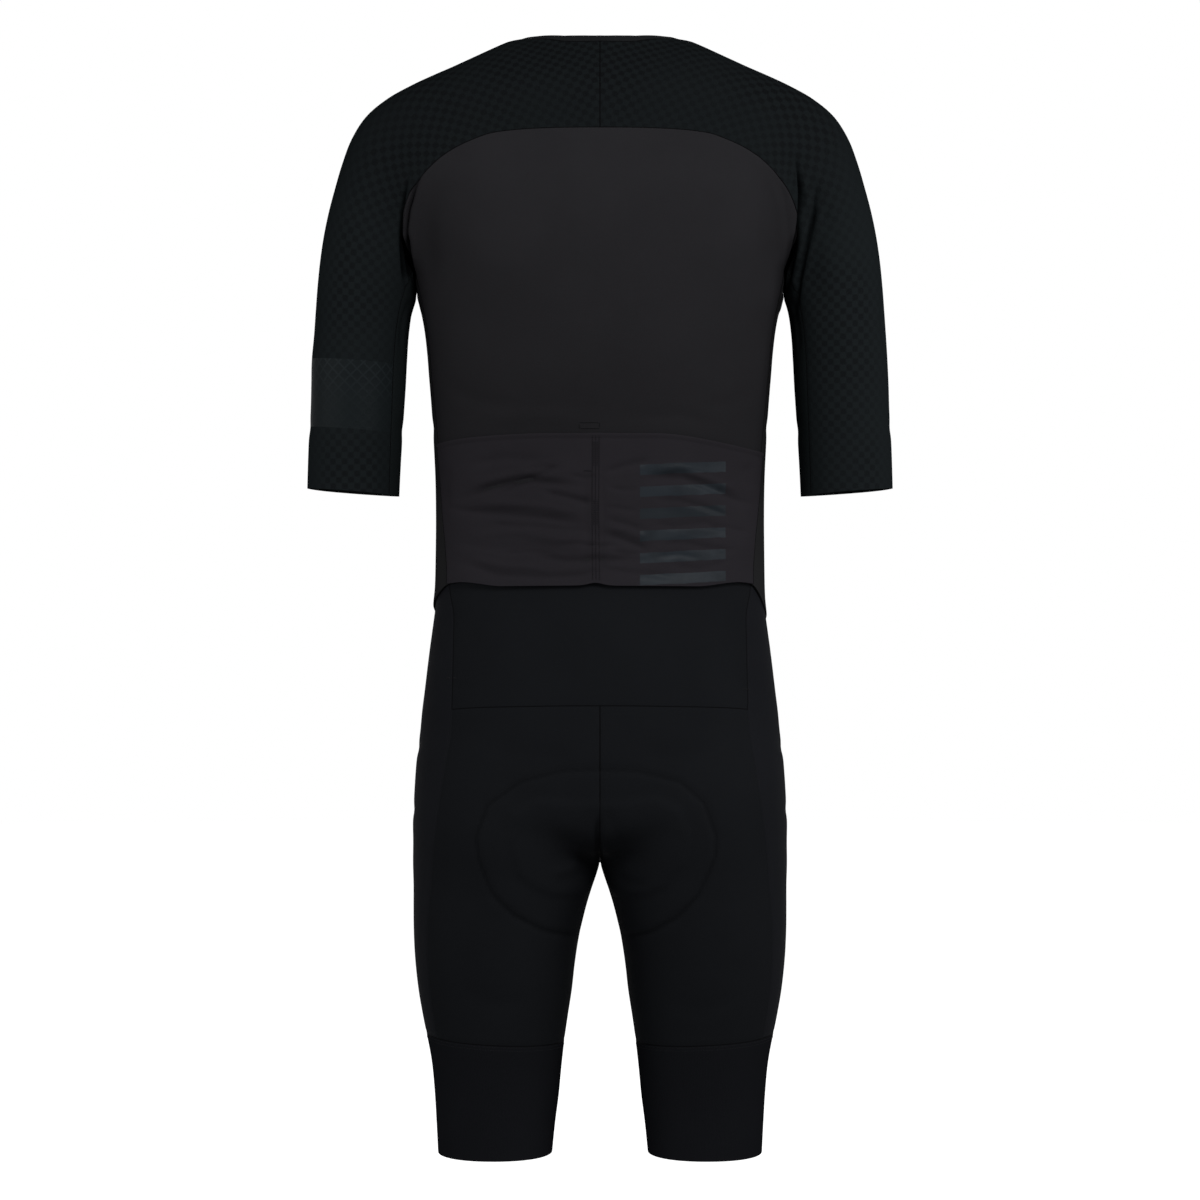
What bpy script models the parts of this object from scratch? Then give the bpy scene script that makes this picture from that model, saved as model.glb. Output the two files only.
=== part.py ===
"""Short-sleeved cycling skinsuit in its worn form, hollow, with no wearer.

Metres, +Z up, +X to the wearer's right and +Y to the front. The origin lies midway
between the two points where the shoulders meet the neck. Tables are in millimetres.

The outside of the cloth is one smooth form, worked out from level sections of the
torso, arm and leg. Seams are curves on that form. Each piece is a grid between its
seams, laid on the form and given a wall, and pieces that meet share their seam points.
"""

import math

import bmesh
import bpy
import numpy as np
from mathutils import Matrix, Vector

MM = 0.001

# ---- cloth and seams ----
WALL = 1.2 * MM
SEAM_GAP = 0.3 * MM
LAYER_GAP = 0.3 * MM
HEM_OVERLAP = 0.65          # share of the jersey's last row that the shorts reach up under
SIDES = (("right", 1), ("left", -1))

# ---- cells across and along the pieces ----
YOKE_CELLS = 9              # half of the back, and the sleeve's edge along it
RAGLAN_CELLS = 7
SIDE_CELLS_HIGH = 7         # armpit to the pocket's top
SIDE_CELLS_LOW = 6          # the pocket's top to the hem
CENTRE_YOKE_CELLS = 4
NECK_CELLS = 9              # centre back to the front raglan seam
FRONT_NECK_CELLS = 3
FRONT_TOP_RAGLAN_CELLS = 5  # stretch of the front raglan seam that tops the front
ARMPIT_CELLS = 4
SLEEVE_CELLS = 8            # armpit to cuff
WAIST_CELLS = 5             # hem to the seat seam
SEAT_CELLS = 8              # seat seam to the crotch
INSEAM_CELLS = 7            # crotch to the leg band
BAND_CELLS = 4
PAD_CELLS = (4, 10)
PAD_ROWS_BEHIND = 6         # rows of the pad behind the crotch

# ---- how the form is read and the grids evened out ----
SLOPE_STEP = 0.2 * MM
SNAP_ROUNDS = 12
RAY_REACH, RAY_STEPS, RAY_HALVINGS = 320 * MM, 640, 30
RUN_POINTS = 240
RING_POINTS = 60
NECK_RING_POINTS = 40
EVEN_ROUNDS, EVEN_ROUNDS_LARGE = 80, 160
SHARP_ANGLE = math.radians(40)

# ---- sections of the torso, level by level ----
TORSO_COLUMNS = ("z", "half_width", "back", "front", "squareness")
TORSO = (
    (14, 30, 24, 22, 2.2),
    (9, 53, 44, 42, 2.2),
    (3, 68, 54, 52, 2.2),
    (0, 74, 57.5, 57, 2.2),
    (-7, 92, 62, 62, 2.2),
    (-18, 116, 71, 69, 2.2),
    (-29, 140, 79, 74, 2.2),
    (-40, 165, 86, 79, 2.2),
    (-51, 186.5, 92, 83, 2.2),
    (-62, 203, 96, 87, 2.2),
    (-73, 214, 99, 90, 2.2),
    (-84, 220, 102, 94, 2.2),
    (-95, 224, 105, 98, 2.2),
    (-106, 226, 108, 102, 2.2),
    (-118, 224, 110, 106, 2.2),
    (-135, 216, 113, 110, 2.2),
    (-155, 201, 116, 113, 2.2),
    (-180, 183, 118, 116, 2.25),
    (-210, 170, 119, 118, 2.3),
    (-240, 165.5, 118, 118, 2.3),
    (-267, 160.3, 116, 117, 2.3),
    (-311, 156, 110, 114, 2.3),
    (-340, 153.7, 104, 111, 2.3),
    (-370, 151.9, 98, 109, 2.3),
    (-400, 150.5, 93.5, 108, 2.3),
    (-440, 150, 91, 107, 2.3),
    (-476, 150.4, 92, 106, 2.3),
    (-512, 151.4, 96, 105, 2.3),
    (-549, 155, 103, 103.5, 2.3),
    (-586, 159, 111, 101.5, 2.3),
    (-622, 163.3, 118, 99, 2.3),
    (-659, 165.3, 122.5, 96, 2.3),
    (-695, 160, 121.5, 91, 2.3),
    (-715, 158, 114, 83, 2.3),
    (-728, 138, 99, 67, 2.3),
    (-739, 103, 71, 43, 2.3),
    (-747, 56, 34, 20, 2.3),
    (-751, 16, 9, 6, 2.3),
)

# ---- sections of the right arm ----
LIMB_COLUMNS = ("z", "centre", "half_width", "back", "front", "squareness")
ARM = (
    (-56, 180, 10, 14, 12, 2.2),
    (-70, 182, 24, 34, 32, 2.2),
    (-84, 184, 33, 45, 43, 2.2),
    (-95, 185.5, 39, 51, 49, 2.2),
    (-106, 187, 44, 55.5, 53.5, 2.2),
    (-118, 188.5, 46.5, 59, 57, 2.2),
    (-128, 191, 48, 60, 58, 2.2),
    (-150, 196, 49.5, 60, 58, 2.2),
    (-172, 201.7, 49, 58, 56, 2.2),
    (-194, 207, 47.4, 56, 54, 2.2),
    (-216, 211, 46.1, 54, 52, 2.2),
    (-238, 214.5, 44.4, 52, 50.5, 2.2),
    (-267, 217.9, 43.1, 51, 50, 2.2),
    (-311, 220.5, 43, 50, 49.5, 2.2),
    (-340, 221.9, 42.5, 49.5, 49, 2.2),
    (-370, 223.8, 42.5, 49, 48.5, 2.2),
    (-406, 225.3, 42, 48, 48, 2.2),
    (-435, 226.5, 42, 47.5, 47.5, 2.2),
)

# ---- sections of the right leg ----
LEG = (
    (-600, 80, 50, 60, 45, 2.2),
    (-640, 82, 76, 98, 76, 2.2),
    (-677, 84, 83, 113, 89, 2.2),
    (-714, 85.3, 84.9, 115, 91, 2.2),
    (-743, 85.7, 84.9, 110, 90, 2.2),
    (-757.7, 86.7, 84, 106, 88, 2.2),
    (-772, 88.3, 81.9, 103, 87, 2.2),
    (-787, 91.3, 78.9, 100, 86, 2.2),
    (-801.6, 92.9, 77.3, 97.5, 85, 2.2),
    (-831, 95.2, 74.1, 92, 83.5, 2.2),
    (-874.7, 95.6, 69.1, 83, 80.5, 2.2),
    (-904, 95.2, 64, 76.5, 77.5, 2.2),
    (-933.3, 94.2, 59.5, 70.5, 74.5, 2.2),
    (-962.6, 94.2, 56.7, 66, 71.5, 2.2),
    (-992, 95.2, 54, 63, 68.5, 2.2),
    (-1016, 95.8, 52.2, 61.5, 66.5, 2.2),
    (-1040, 96.2, 51.5, 60.5, 65, 2.2),
)

# How softly two forms run into each other, level by level.
ARM_BLEND_COLUMNS = ("z", "softness")
ARM_BLEND = ((-50, 10), (-110, 16), (-160, 20), (-200, 14), (-222, 8), (-240, 4))
LEG_BLEND_COLUMNS = ("z", "softness")
LEG_BLEND = ((-640, 10), (-700, 14), (-735, 12), (-750, 5), (-765, 3))
PART_BELOW = -238           # the arm and the torso are apart below this level
PART_RATE = 3.0

# ---- neck, seen from above ----
NECK_RIM = (70, 61, 85)     # half width, back, front
NECK_SEAM = (75.5, 65, 89.5)
NECK_RAY_Z = -110
RAGLAN_NECK_ANGLE = 124     # degrees round the neck from the centre back
ZIP_HALF_WIDTH = 7

# ---- seams on the back, as (x, z) seen from behind ----
YOKE_SEAM = ((0, -94.7), (50, -95.2), (78, -96.6), (97, -99), (117, -106), (131, -112.6), (142, -119.5))
CENTRE_YOKE = ((0, -70), (0, -45), (0, -25))
RAGLAN_BACK = ((142, -119.5), (153, -129), (162.5, -138.6), (170.8, -151), (177, -164.6),
               (178.8, -178.2), (178, -190))
POCKET_TOP = ((0, -364), (70, -364.6), (125, -368), (150, -371.5))
BACK_HEM = ((0, -500), (60, -500.2), (110, -501.2), (137, -504))
WAIST_SIDE = ((137, -504), (132.8, -522), (132, -545), (132, -580), (132.5, -610))
SEAT_SEAM = ((0, -605.6), (70, -606.5), (132.5, -610))
LEG_SIDE_BACK = ((132.5, -610), (134, -635), (139, -665.5), (144, -699), (149.5, -747), (154.5, -805),
                     (153, -860), (146.5, -907))
CENTRE_BACK = ((0, -625), (0, -650))

# ---- seams on the front, as (x, z) seen from the front ----
RAGLAN_FRONT = ((80, -38), (104, -75), (127, -115), (147, -152), (164, -181))
ZIP_EDGE = tuple((ZIP_HALF_WIDTH, z) for z in (-90, -140, -200, -270, -340, -410, -480))
FRONT_HEM = ((117, -539), (67, -548))
FRONT_HEM_Z = -552
CENTRE_FRONT = ((0, -590), (0, -625), (0, -655))

# ---- seams on the sides, as (y, z) seen from the side ----
ARMPIT_Y = (-30, 27)
ARMPIT_SEARCH_X, ARMPIT_SEARCH_Z, ARMPIT_SEARCH_STEPS = (160, 185), -175, 101
SIDE_BACK = ((-30, -235), (-30, -262), (-29, -320), (-31.5, -371.5), (-34.5, -421), (-42, -465), (-47.5, -504))
SIDE_FRONT = ((28, -235), (31, -280), (38, -340), (40, -400), (40, -460), (38, -530))
UNDERARM_BACK = ((-33, -240), (-34, -290), (-32, -350), (-29, -416))
UNDERARM_FRONT = ((29, -240), (30, -290), (30, -350), (27, -416))
TORSO_INSIDE_X, ARM_INSIDE_X = 80, 215      # where rays to these seams start
SIDE_HEM_Z = -517
CUFF_Z, CUFF_TILT = -414, 0.085
BAND_SEAM_Z, BAND_SEAM_TILT = -910, 0.06
LEG_END_Z = -1016
CROTCH_FAN_Z, CROTCH_FAN_STEP = -680, 6     # rays for the crotch seam fan out from this level
INSEAM_Z = (-768, -785, -810, -840, -875)
SHORTS_INSET = (1.5, 1.5, 1.1, 0.5, 0.1)    # how far under the jersey, row by row

# ---- pad: its outline on the back, as (x, z), and its thickness ----
PAD_TOP = ((0, -660.8), (35, -661.7), (70, -671.5))
PAD_SIDE = ((70, -671.5), (99, -693), (109, -722), (105.5, -745.5), (95, -774.5), (78, -793))
PAD_END = ((78, -793), (50, -808), (26, -816))
PAD_DROP_Y, PAD_DROP_Z = -20, -818
PAD_DEPTH = 2.4 * MM        # from the outside of the cloth to the pad
PAD_EDGE, PAD_MIDDLE = 2.5 * MM, 8 * MM
PAD_MOUND = (-735, 108, 76, 1.4, 14)        # centre's level, half width, half height, rise, edge

# ---- the largest folds: soft troughs, each a depth, a width and a run of (x, z) ----
FOLDS = (
    (2.6, 13, ((-154, -132), (-161, -162), (-162, -182), (-159, -206))),
    (2.2, 13, ((-187, -128), (-190, -150), (-187, -176))),
    (2.4, 13, ((157, -137), (163, -165), (166, -188), (163, -215))),
    (2.6, 13, ((176, -118), (181, -142), (182, -165))),
    (2.8, 13, ((195, -146), (192, -176), (186, -202), (183, -228))),
    (-1.4, 12, ((-189, -300), (-230, -292), (-255, -300))),
    (1.6, 13, ((0, -712), (0, -745))),
)

# ---- wrinkles across the pocket, in the same columns ----
POCKET_FOLDS = (
    (1.3, 5, ((-123, -420), (-78, -407), (-64, -406), (-21, -409))),
    (1.2, 5, ((-120, -431), (-82, -434), (-45, -438), (-12, -445))),
    (1.0, 5, ((-49, -417), (-26, -421), (-7, -424))),
    (1.1, 5, ((3, -455), (26, -460), (45, -467))),
    (1.2, 5, ((-60, -474), (-20, -476), (35, -477))),
    (1.2, 6, ((-124, -484), (-45, -491), (10, -488))),
    (1.3, 5, ((45, -403), (71, -401), (96, -408), (137, -423))),
    (1.0, 5, ((70, -438), (100, -441), (132, -452))),
    (0.9, 5, ((-110, -455), (-85, -452), (-60, -457))),
)
POCKET_BELLY, POCKET_TOP_SHARE = 1.6, 0.15
POCKET_LEAST_LIFT = 0.1
POCKET_ROWS_PER_CELL = 3

# ---- zip slider and pull ----
SLIDER_Z = -84
SLIDER = (8.5, 11.0, 2.6)       # width, length, thickness
SLIDER_BEVEL, PULL_BEVEL = 0.6, 0.2
BRIDGE = (1.8, 7.0, 1.9, 0.9)   # width, length, room under it, thickness
BRIDGE_ROOT = 0.5
PULL = (6.4, 27.0, 1.2)         # width, length, thickness
PULL_WINDOW = (3.4, 8.0)        # width, length
PULL_BAR = 1.1

# ---- colours: base colour and roughness ----
FINISHES = {
    "textured": ((0.010, 0.013, 0.013), 0.75),
    "plum": ((0.022, 0.020, 0.023), 0.70),
    "plain": ((0.011, 0.011, 0.012), 0.72),
    "shorts": ((0.009, 0.010, 0.011), 0.65),
    "gripper": ((0.009, 0.010, 0.012), 0.60),
    "binding": ((0.012, 0.012, 0.013), 0.70),
    "foam": ((0.045, 0.045, 0.050), 0.85),
    "metal": ((0.035, 0.035, 0.038), 0.40),
}


# ---------------------------------------------------------------- curves through tables

def through(keys, values, at):
    """Smooth curve through (keys, values), read at the given keys. Keys rise."""
    keys, values = np.asarray(keys, float), np.asarray(values, float)
    step = np.diff(keys)
    slope = np.diff(values, axis=0) / step.reshape(-1, *([1] * (values.ndim - 1)))
    tangent = np.empty_like(values)
    tangent[0], tangent[-1] = slope[0], slope[-1]
    before, after = step[:-1], step[1:]
    shape = (-1, *([1] * (values.ndim - 1)))
    before, after = before.reshape(shape), after.reshape(shape)
    tangent[1:-1] = (slope[:-1] * after + slope[1:] * before) / (before + after)
    at = np.clip(at, keys[0], keys[-1])
    low = np.clip(np.searchsorted(keys, at, side="right") - 1, 0, len(step) - 1)
    shape = (*np.shape(at), *([1] * (values.ndim - 1)))
    span = step[low].reshape(shape)
    t = ((at - keys[low]) / step[low]).reshape(shape)
    return ((2 * t**3 - 3 * t**2 + 1) * values[low] + (t**3 - 2 * t**2 + t) * span * tangent[low]
            + (3 * t**2 - 2 * t**3) * values[low + 1] + (t**3 - t**2) * span * tangent[low + 1])


def column_curves(table, columns):
    """A reader for a table of levels: read(name, z in metres) in metres."""
    rows = sorted(table)
    levels = np.array([row[0] for row in rows]) * MM

    def read(name, z):
        scale = 1 if name == "squareness" else MM
        values = np.array([row[columns.index(name)] for row in rows]) * scale
        return through(levels, values, z)
    return read


torso_at = column_curves(TORSO, TORSO_COLUMNS)
arm_at = column_curves(ARM, LIMB_COLUMNS)
leg_at = column_curves(LEG, LIMB_COLUMNS)
arm_blend_at = column_curves(ARM_BLEND, ARM_BLEND_COLUMNS)
leg_blend_at = column_curves(LEG_BLEND, LEG_BLEND_COLUMNS)


# ---------------------------------------------------------------- the form

def oval(points, centre, half_width, back, front, squareness):
    """Rough distance outside a level oval. Below zero is inside."""
    x, y = points[..., 0] - centre, points[..., 1]
    depth = np.where(y < 0, back, front)
    reach = (np.abs(x) / half_width) ** squareness + (np.abs(y) / depth) ** squareness
    return (reach ** (1 / squareness) - 1) * np.sqrt(half_width * (back + front) / 2)


def capped(distance, z, table):
    """Ends a stack of sections at its first and last level."""
    levels = [row[0] * MM for row in table]
    over = np.maximum(z - max(levels), 0) + np.maximum(min(levels) - z, 0)
    return distance + 6 * over


def soft_union(first, second, softness):
    """The smaller of two distances, rounded where they are alike."""
    mix = np.clip(0.5 + 0.5 * (second - first) / softness, 0, 1)
    return second * (1 - mix) + first * mix - softness * mix * (1 - mix)


def torso_form(points):
    z = points[..., 2]
    distance = oval(points, 0, torso_at("half_width", z), torso_at("back", z), torso_at("front", z),
                    torso_at("squareness", z))
    return capped(distance, z, TORSO)


def limb_form(points, read, table):
    """A limb, on whichever side the points lie."""
    z = points[..., 2]
    mirrored = points.copy()
    mirrored[..., 0] = np.abs(points[..., 0])
    distance = oval(mirrored, read("centre", z), read("half_width", z), read("back", z),
                    read("front", z), read("squareness", z))
    return capped(distance, z, table)


def parted(z):
    return PART_RATE * np.maximum(PART_BELOW * MM - z, 0)


def torso_and_arm(points, part_torso=False, part_arm=False):
    z = points[..., 2]
    torso = torso_form(points) + (parted(z) if part_torso else 0)
    arm = limb_form(points, arm_at, ARM) + (parted(z) if part_arm else 0)
    return soft_union(torso, arm, arm_blend_at("softness", z))


def body_side(points):
    """The form under the pieces of the torso."""
    return torso_and_arm(points, part_arm=True)


def sleeve_side(points):
    """The form under the pieces of the sleeves."""
    return torso_and_arm(points, part_torso=True)


def shorts_form(points):
    z = points[..., 2]
    return soft_union(torso_form(points), limb_form(points, leg_at, LEG), leg_blend_at("softness", z))


def slope_of(points, form):
    gradient = np.empty_like(points)
    for axis in range(3):
        shift = np.zeros(3)
        shift[axis] = SLOPE_STEP
        gradient[..., axis] = (form(points + shift) - form(points - shift)) / (2 * SLOPE_STEP)
    return gradient


def normals(points, form):
    """Outward directions of the form at the points."""
    gradient = slope_of(points, form)
    return gradient / np.maximum(np.linalg.norm(gradient, axis=-1, keepdims=True), 1e-12)


def snap(points, form, rounds=SNAP_ROUNDS):
    """Moves points along the form's slope until they lie on it."""
    points = np.array(points, float)
    for _ in range(rounds):
        gradient = slope_of(points, form)
        steepness = np.maximum((gradient**2).sum(axis=-1, keepdims=True), 0.05)
        move = form(points)[..., None] * gradient / steepness
        length = np.linalg.norm(move, axis=-1, keepdims=True)
        points -= move * np.minimum(1, 0.01 / np.maximum(length, 1e-9))
    return points


def cast(origins, directions, form):
    """Where rays that start inside first leave the form."""
    origins = np.atleast_2d(np.asarray(origins, float))
    directions = np.broadcast_to(np.asarray(directions, float), origins.shape)
    directions = directions / np.linalg.norm(directions, axis=-1, keepdims=True)
    steps = np.linspace(0, RAY_REACH, RAY_STEPS + 1)
    values = form(origins[:, None, :] + directions[:, None, :] * steps[None, :, None])
    outside = values > 0
    first = np.maximum(np.argmax(outside, axis=1), 1)
    if not outside.any(axis=1).all() or outside[:, 0].any():
        raise ValueError(f"a ray doesn't start inside and leave the form: {origins / MM}")
    low, high = steps[first - 1], steps[first]
    for _ in range(RAY_HALVINGS):
        middle = (low + high) / 2
        out = form(origins + directions * middle[:, None]) > 0
        high, low = np.where(out, middle, high), np.where(out, low, middle)
    return origins + directions * low[:, None]


# ---------------------------------------------------------------- seams

def dense(points, form):
    """A smooth run through a few points, laid on the form."""
    points = np.asarray(points, float)
    along = np.concatenate([[0], np.cumsum(np.linalg.norm(np.diff(points, axis=0), axis=1))])
    return snap(through(along, points, np.linspace(0, along[-1], RUN_POINTS)), form)


def spaced(points, cells):
    """The run's points, spaced evenly into cells."""
    along = np.concatenate([[0], np.cumsum(np.linalg.norm(np.diff(points, axis=0), axis=1))])
    at = np.linspace(0, along[-1], cells + 1)
    return np.stack([np.interp(at, along, points[:, axis]) for axis in range(3)], axis=1)


def seam(points, form, cells):
    """A seam through a few points on the form, in evenly spaced cells with exact ends."""
    run = snap(spaced(dense(points, form), cells), form)
    run[0], run[-1] = points[0], points[-1]
    return run


def seen_from(view, pairs, form, inside=0):
    """Table pairs laid on the form as seen from the back, front, outer or inner side."""
    pairs = np.asarray(pairs, float) * MM
    points = np.zeros((len(pairs), 3))
    points[:, 2] = pairs[:, 1]
    if view in ("back", "front"):
        points[:, 0] = pairs[:, 0]
        return cast(points, (0, -1 if view == "back" else 1, 0), form)
    points[:, 1] = pairs[:, 0]
    points[:, 0] = inside * MM
    return cast(points, (1 if view == "outer" else -1, 0, 0), form)


def joined(*runs):
    """Runs end to end, with each shared point kept once."""
    return np.concatenate([runs[0]] + [run[1:] for run in runs[1:]])


def neck_point(plan, angle, form):
    """A point of the neck, at an angle in degrees round it from the centre back."""
    half_width, back, front = (size * MM for size in plan)
    turn = math.radians(angle)
    y = -back * math.cos(turn) if angle < 90 else -front * math.cos(turn)
    return cast([(half_width * math.sin(turn), y, NECK_RAY_Z * MM)], (0, 0, 1), form)[0]


def armpit_point(y):
    """The top of the groove between the torso and the arm, at a depth y."""
    x = np.linspace(*ARMPIT_SEARCH_X, ARMPIT_SEARCH_STEPS) * MM
    start = np.stack([x, np.full(len(x), y), np.full(len(x), ARMPIT_SEARCH_Z * MM)], axis=1)
    under = cast(start, (0, 0, -1), torso_and_arm)
    return under[np.argmax(under[:, 2])]


def zip_angle(plan):
    """Where round the neck the zip's edge lies."""
    return 180 - math.degrees(math.asin(ZIP_HALF_WIDTH / plan[0]))


def neck_run(plan, start, end, cells, form):
    angles = np.linspace(start, end, NECK_RING_POINTS)
    return seam([neck_point(plan, angle, form) for angle in angles], form, cells)


# ---------------------------------------------------------------- grids between seams

def between(top, bottom, left, right, form, rounds=EVEN_ROUNDS):
    """A grid between four seams, evened out on the form. Rows run from top to bottom."""
    rows, columns = len(left) - 1, len(top) - 1
    u = np.linspace(0, 1, columns + 1)[None, :, None]
    v = np.linspace(0, 1, rows + 1)[:, None, None]
    grid = ((1 - v) * top[None] + v * bottom[None] + (1 - u) * left[:, None] + u * right[:, None]
            - (1 - u) * (1 - v) * top[0] - u * (1 - v) * top[-1]
            - (1 - u) * v * bottom[0] - u * v * bottom[-1])
    for _ in range(rounds):
        grid[1:-1, 1:-1] = 0.25 * (grid[:-2, 1:-1] + grid[2:, 1:-1] + grid[1:-1, :-2] + grid[1:-1, 2:])
        grid[1:-1, 1:-1] = snap(grid[1:-1, 1:-1], form, rounds=1)
    grid[1:-1, 1:-1] = snap(grid[1:-1, 1:-1], form)
    return grid


def refined(grid, rows_per_cell):
    """The same facets in more rows."""
    at = np.linspace(0, len(grid) - 1, (len(grid) - 1) * rows_per_cell + 1)
    low = np.minimum(at.astype(int), len(grid) - 2)
    share = (at - low)[:, None, None]
    return grid[low] * (1 - share) + grid[low + 1] * share


# ---------------------------------------------------------------- relief

def distance_to_run(x, z, run):
    """Distance in the (x, z) view from points to a run of straight stretches."""
    run = np.asarray(run, float) * MM
    nearest = np.full(x.shape, np.inf)
    for start, end in zip(run[:-1], run[1:]):
        span = end - start
        share = np.clip(((x - start[0]) * span[0] + (z - start[1]) * span[1]) / (span @ span), 0, 1)
        nearest = np.minimum(nearest, np.hypot(x - start[0] - share * span[0], z - start[1] - share * span[1]))
    return nearest


def fold_relief(points, folds):
    """How far the back of the cloth stands out of the form at its folds."""
    x, y, z = points[..., 0], points[..., 1], points[..., 2]
    relief = np.zeros(x.shape)
    for depth, width, run in folds:
        relief -= depth * MM * np.exp(-(distance_to_run(x, z, run) / (width * MM)) ** 2)
    return relief * (y < 0)


def pad_relief(points):
    """How far the seat stands out over the pad."""
    centre_z, half_width, half_height, rise, edge = (size * MM for size in PAD_MOUND)
    x, y, z = points[..., 0], points[..., 1], points[..., 2]
    reach = np.hypot(x / half_width, (z - centre_z) / half_height)
    inside = (1 - reach) * min(half_width, half_height)
    return rise * np.clip(inside / edge + 0.5, 0, 1) * (y < 0)


def folded(grid, form, extra=0.0):
    """The grid with its folds pressed in. Seams keep their place on the form."""
    relief = fold_relief(grid, FOLDS) + extra
    relief[0] = relief[-1] = 0
    relief[:, 0] = relief[:, -1] = 0
    return grid + relief[..., None] * normals(grid, form)


# ---------------------------------------------------------------- solids

def parted_edges(grid, facing, sides):
    """Draws the named sides of a grid back from their seams by half the gap."""
    draws = np.zeros((2, *grid.shape))
    for name in sides:
        across = name in ("left", "right")
        layer = 1 if across else 0
        edge = -1 if name in ("bottom", "right") else 0
        inner = edge - 1 if edge else 1
        lines, faces, moves = ((array.swapaxes(0, 1) if across else array)
                               for array in (grid, facing, draws[layer]))
        along = np.gradient(lines[edge], axis=0)
        into = np.cross(faces[edge], along)
        into /= np.linalg.norm(into, axis=-1, keepdims=True)
        towards = ((lines[inner] - lines[edge]) * into).sum(axis=-1)
        moves[edge] = 0.5 * SEAM_GAP * into * np.sign(np.median(towards))
    straight = (draws[0] * draws[1]).sum(axis=-1) > 0.5 * (0.5 * SEAM_GAP) ** 2
    return grid + draws.sum(axis=0) * np.where(straight, 0.5, 1)[..., None]


def finish(name):
    colour, roughness = FINISHES[name]
    material = bpy.data.materials.get(name)
    if material is None:
        material = bpy.data.materials.new(name)
        material.use_nodes = True
        shader = material.node_tree.nodes["Principled BSDF"]
        shader.inputs["Base Color"].default_value = (*colour, 1)
        shader.inputs["Roughness"].default_value = roughness
        shader.inputs["Metallic"].default_value = 1.0 if name == "metal" else 0.0
    return material


def add_object(name, mesh_data, finish_name, collection):
    mesh = bpy.data.meshes.new(name)
    mesh_data.to_mesh(mesh)
    mesh_data.free()
    mesh.materials.append(finish(finish_name))
    mesh.shade_smooth()
    mesh.set_sharp_from_angle(angle=SHARP_ANGLE)
    piece = bpy.data.objects.new(name, mesh)
    collection.objects.link(piece)
    return piece


def grid_vertices(mesh, rows, columns):
    """A flat Blender grid, and its vertices in rows from top to bottom."""
    made = bmesh.ops.create_grid(mesh, x_segments=columns, y_segments=rows, size=1.0)["verts"]
    made.sort(key=lambda vertex: (-round(vertex.co.y, 5), round(vertex.co.x, 5)))
    return made


def wall(name, outer, inner, finish_name, collection, ring=False):
    """A closed wall of cloth between two grids of points. A ring meets itself."""
    rows, columns = outer.shape[0] - 1, outer.shape[1] - 1
    mesh = bmesh.new()
    for grid in (outer, inner):
        for vertex, place in zip(grid_vertices(mesh, rows, columns), grid.reshape(-1, 3)):
            vertex.co = place
    if ring:
        bmesh.ops.remove_doubles(mesh, verts=mesh.verts, dist=1e-6)
    rim = [edge for edge in mesh.edges if edge.is_boundary]
    bridge_rims(mesh, rim)
    bmesh.ops.recalc_face_normals(mesh, faces=mesh.faces)
    bmesh.ops.triangulate(mesh, faces=mesh.faces, quad_method="SHORT_EDGE")
    return add_object(name, mesh, finish_name, collection)


def bridge_rims(mesh, rim):
    """Joins the rims of two like layers, each edge to the one at its own place."""
    mesh.verts.ensure_lookup_table()
    count = len(mesh.verts) // 2
    mesh.verts.index_update()
    for edge in rim:
        first, second = edge.verts
        if first.index < count and second.index < count:
            mesh.faces.new((first, second, mesh.verts[second.index + count], mesh.verts[first.index + count]))


def cloth(name, grid, form, finish_name, collection, seams, inset=0.0, ring=False, relief=None):
    """A piece of cloth whose outside lies on the grid, less any inset."""
    facing = normals(grid, form)
    outside = grid - facing * np.asarray(inset)
    if relief is not None:
        outside = outside + facing * relief[..., None]
    outside_edges = parted_edges(outside, facing, seams)
    inside_edges = parted_edges(outside - facing * WALL, facing, seams)
    return wall(name, outside_edges, inside_edges, finish_name, collection, ring)


def mirrored(grid, side):
    """The grid on its side of the body, with its columns in the same order."""
    return grid * np.array([side, 1, 1])


# ---------------------------------------------------------------- the seams of the right half

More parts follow.
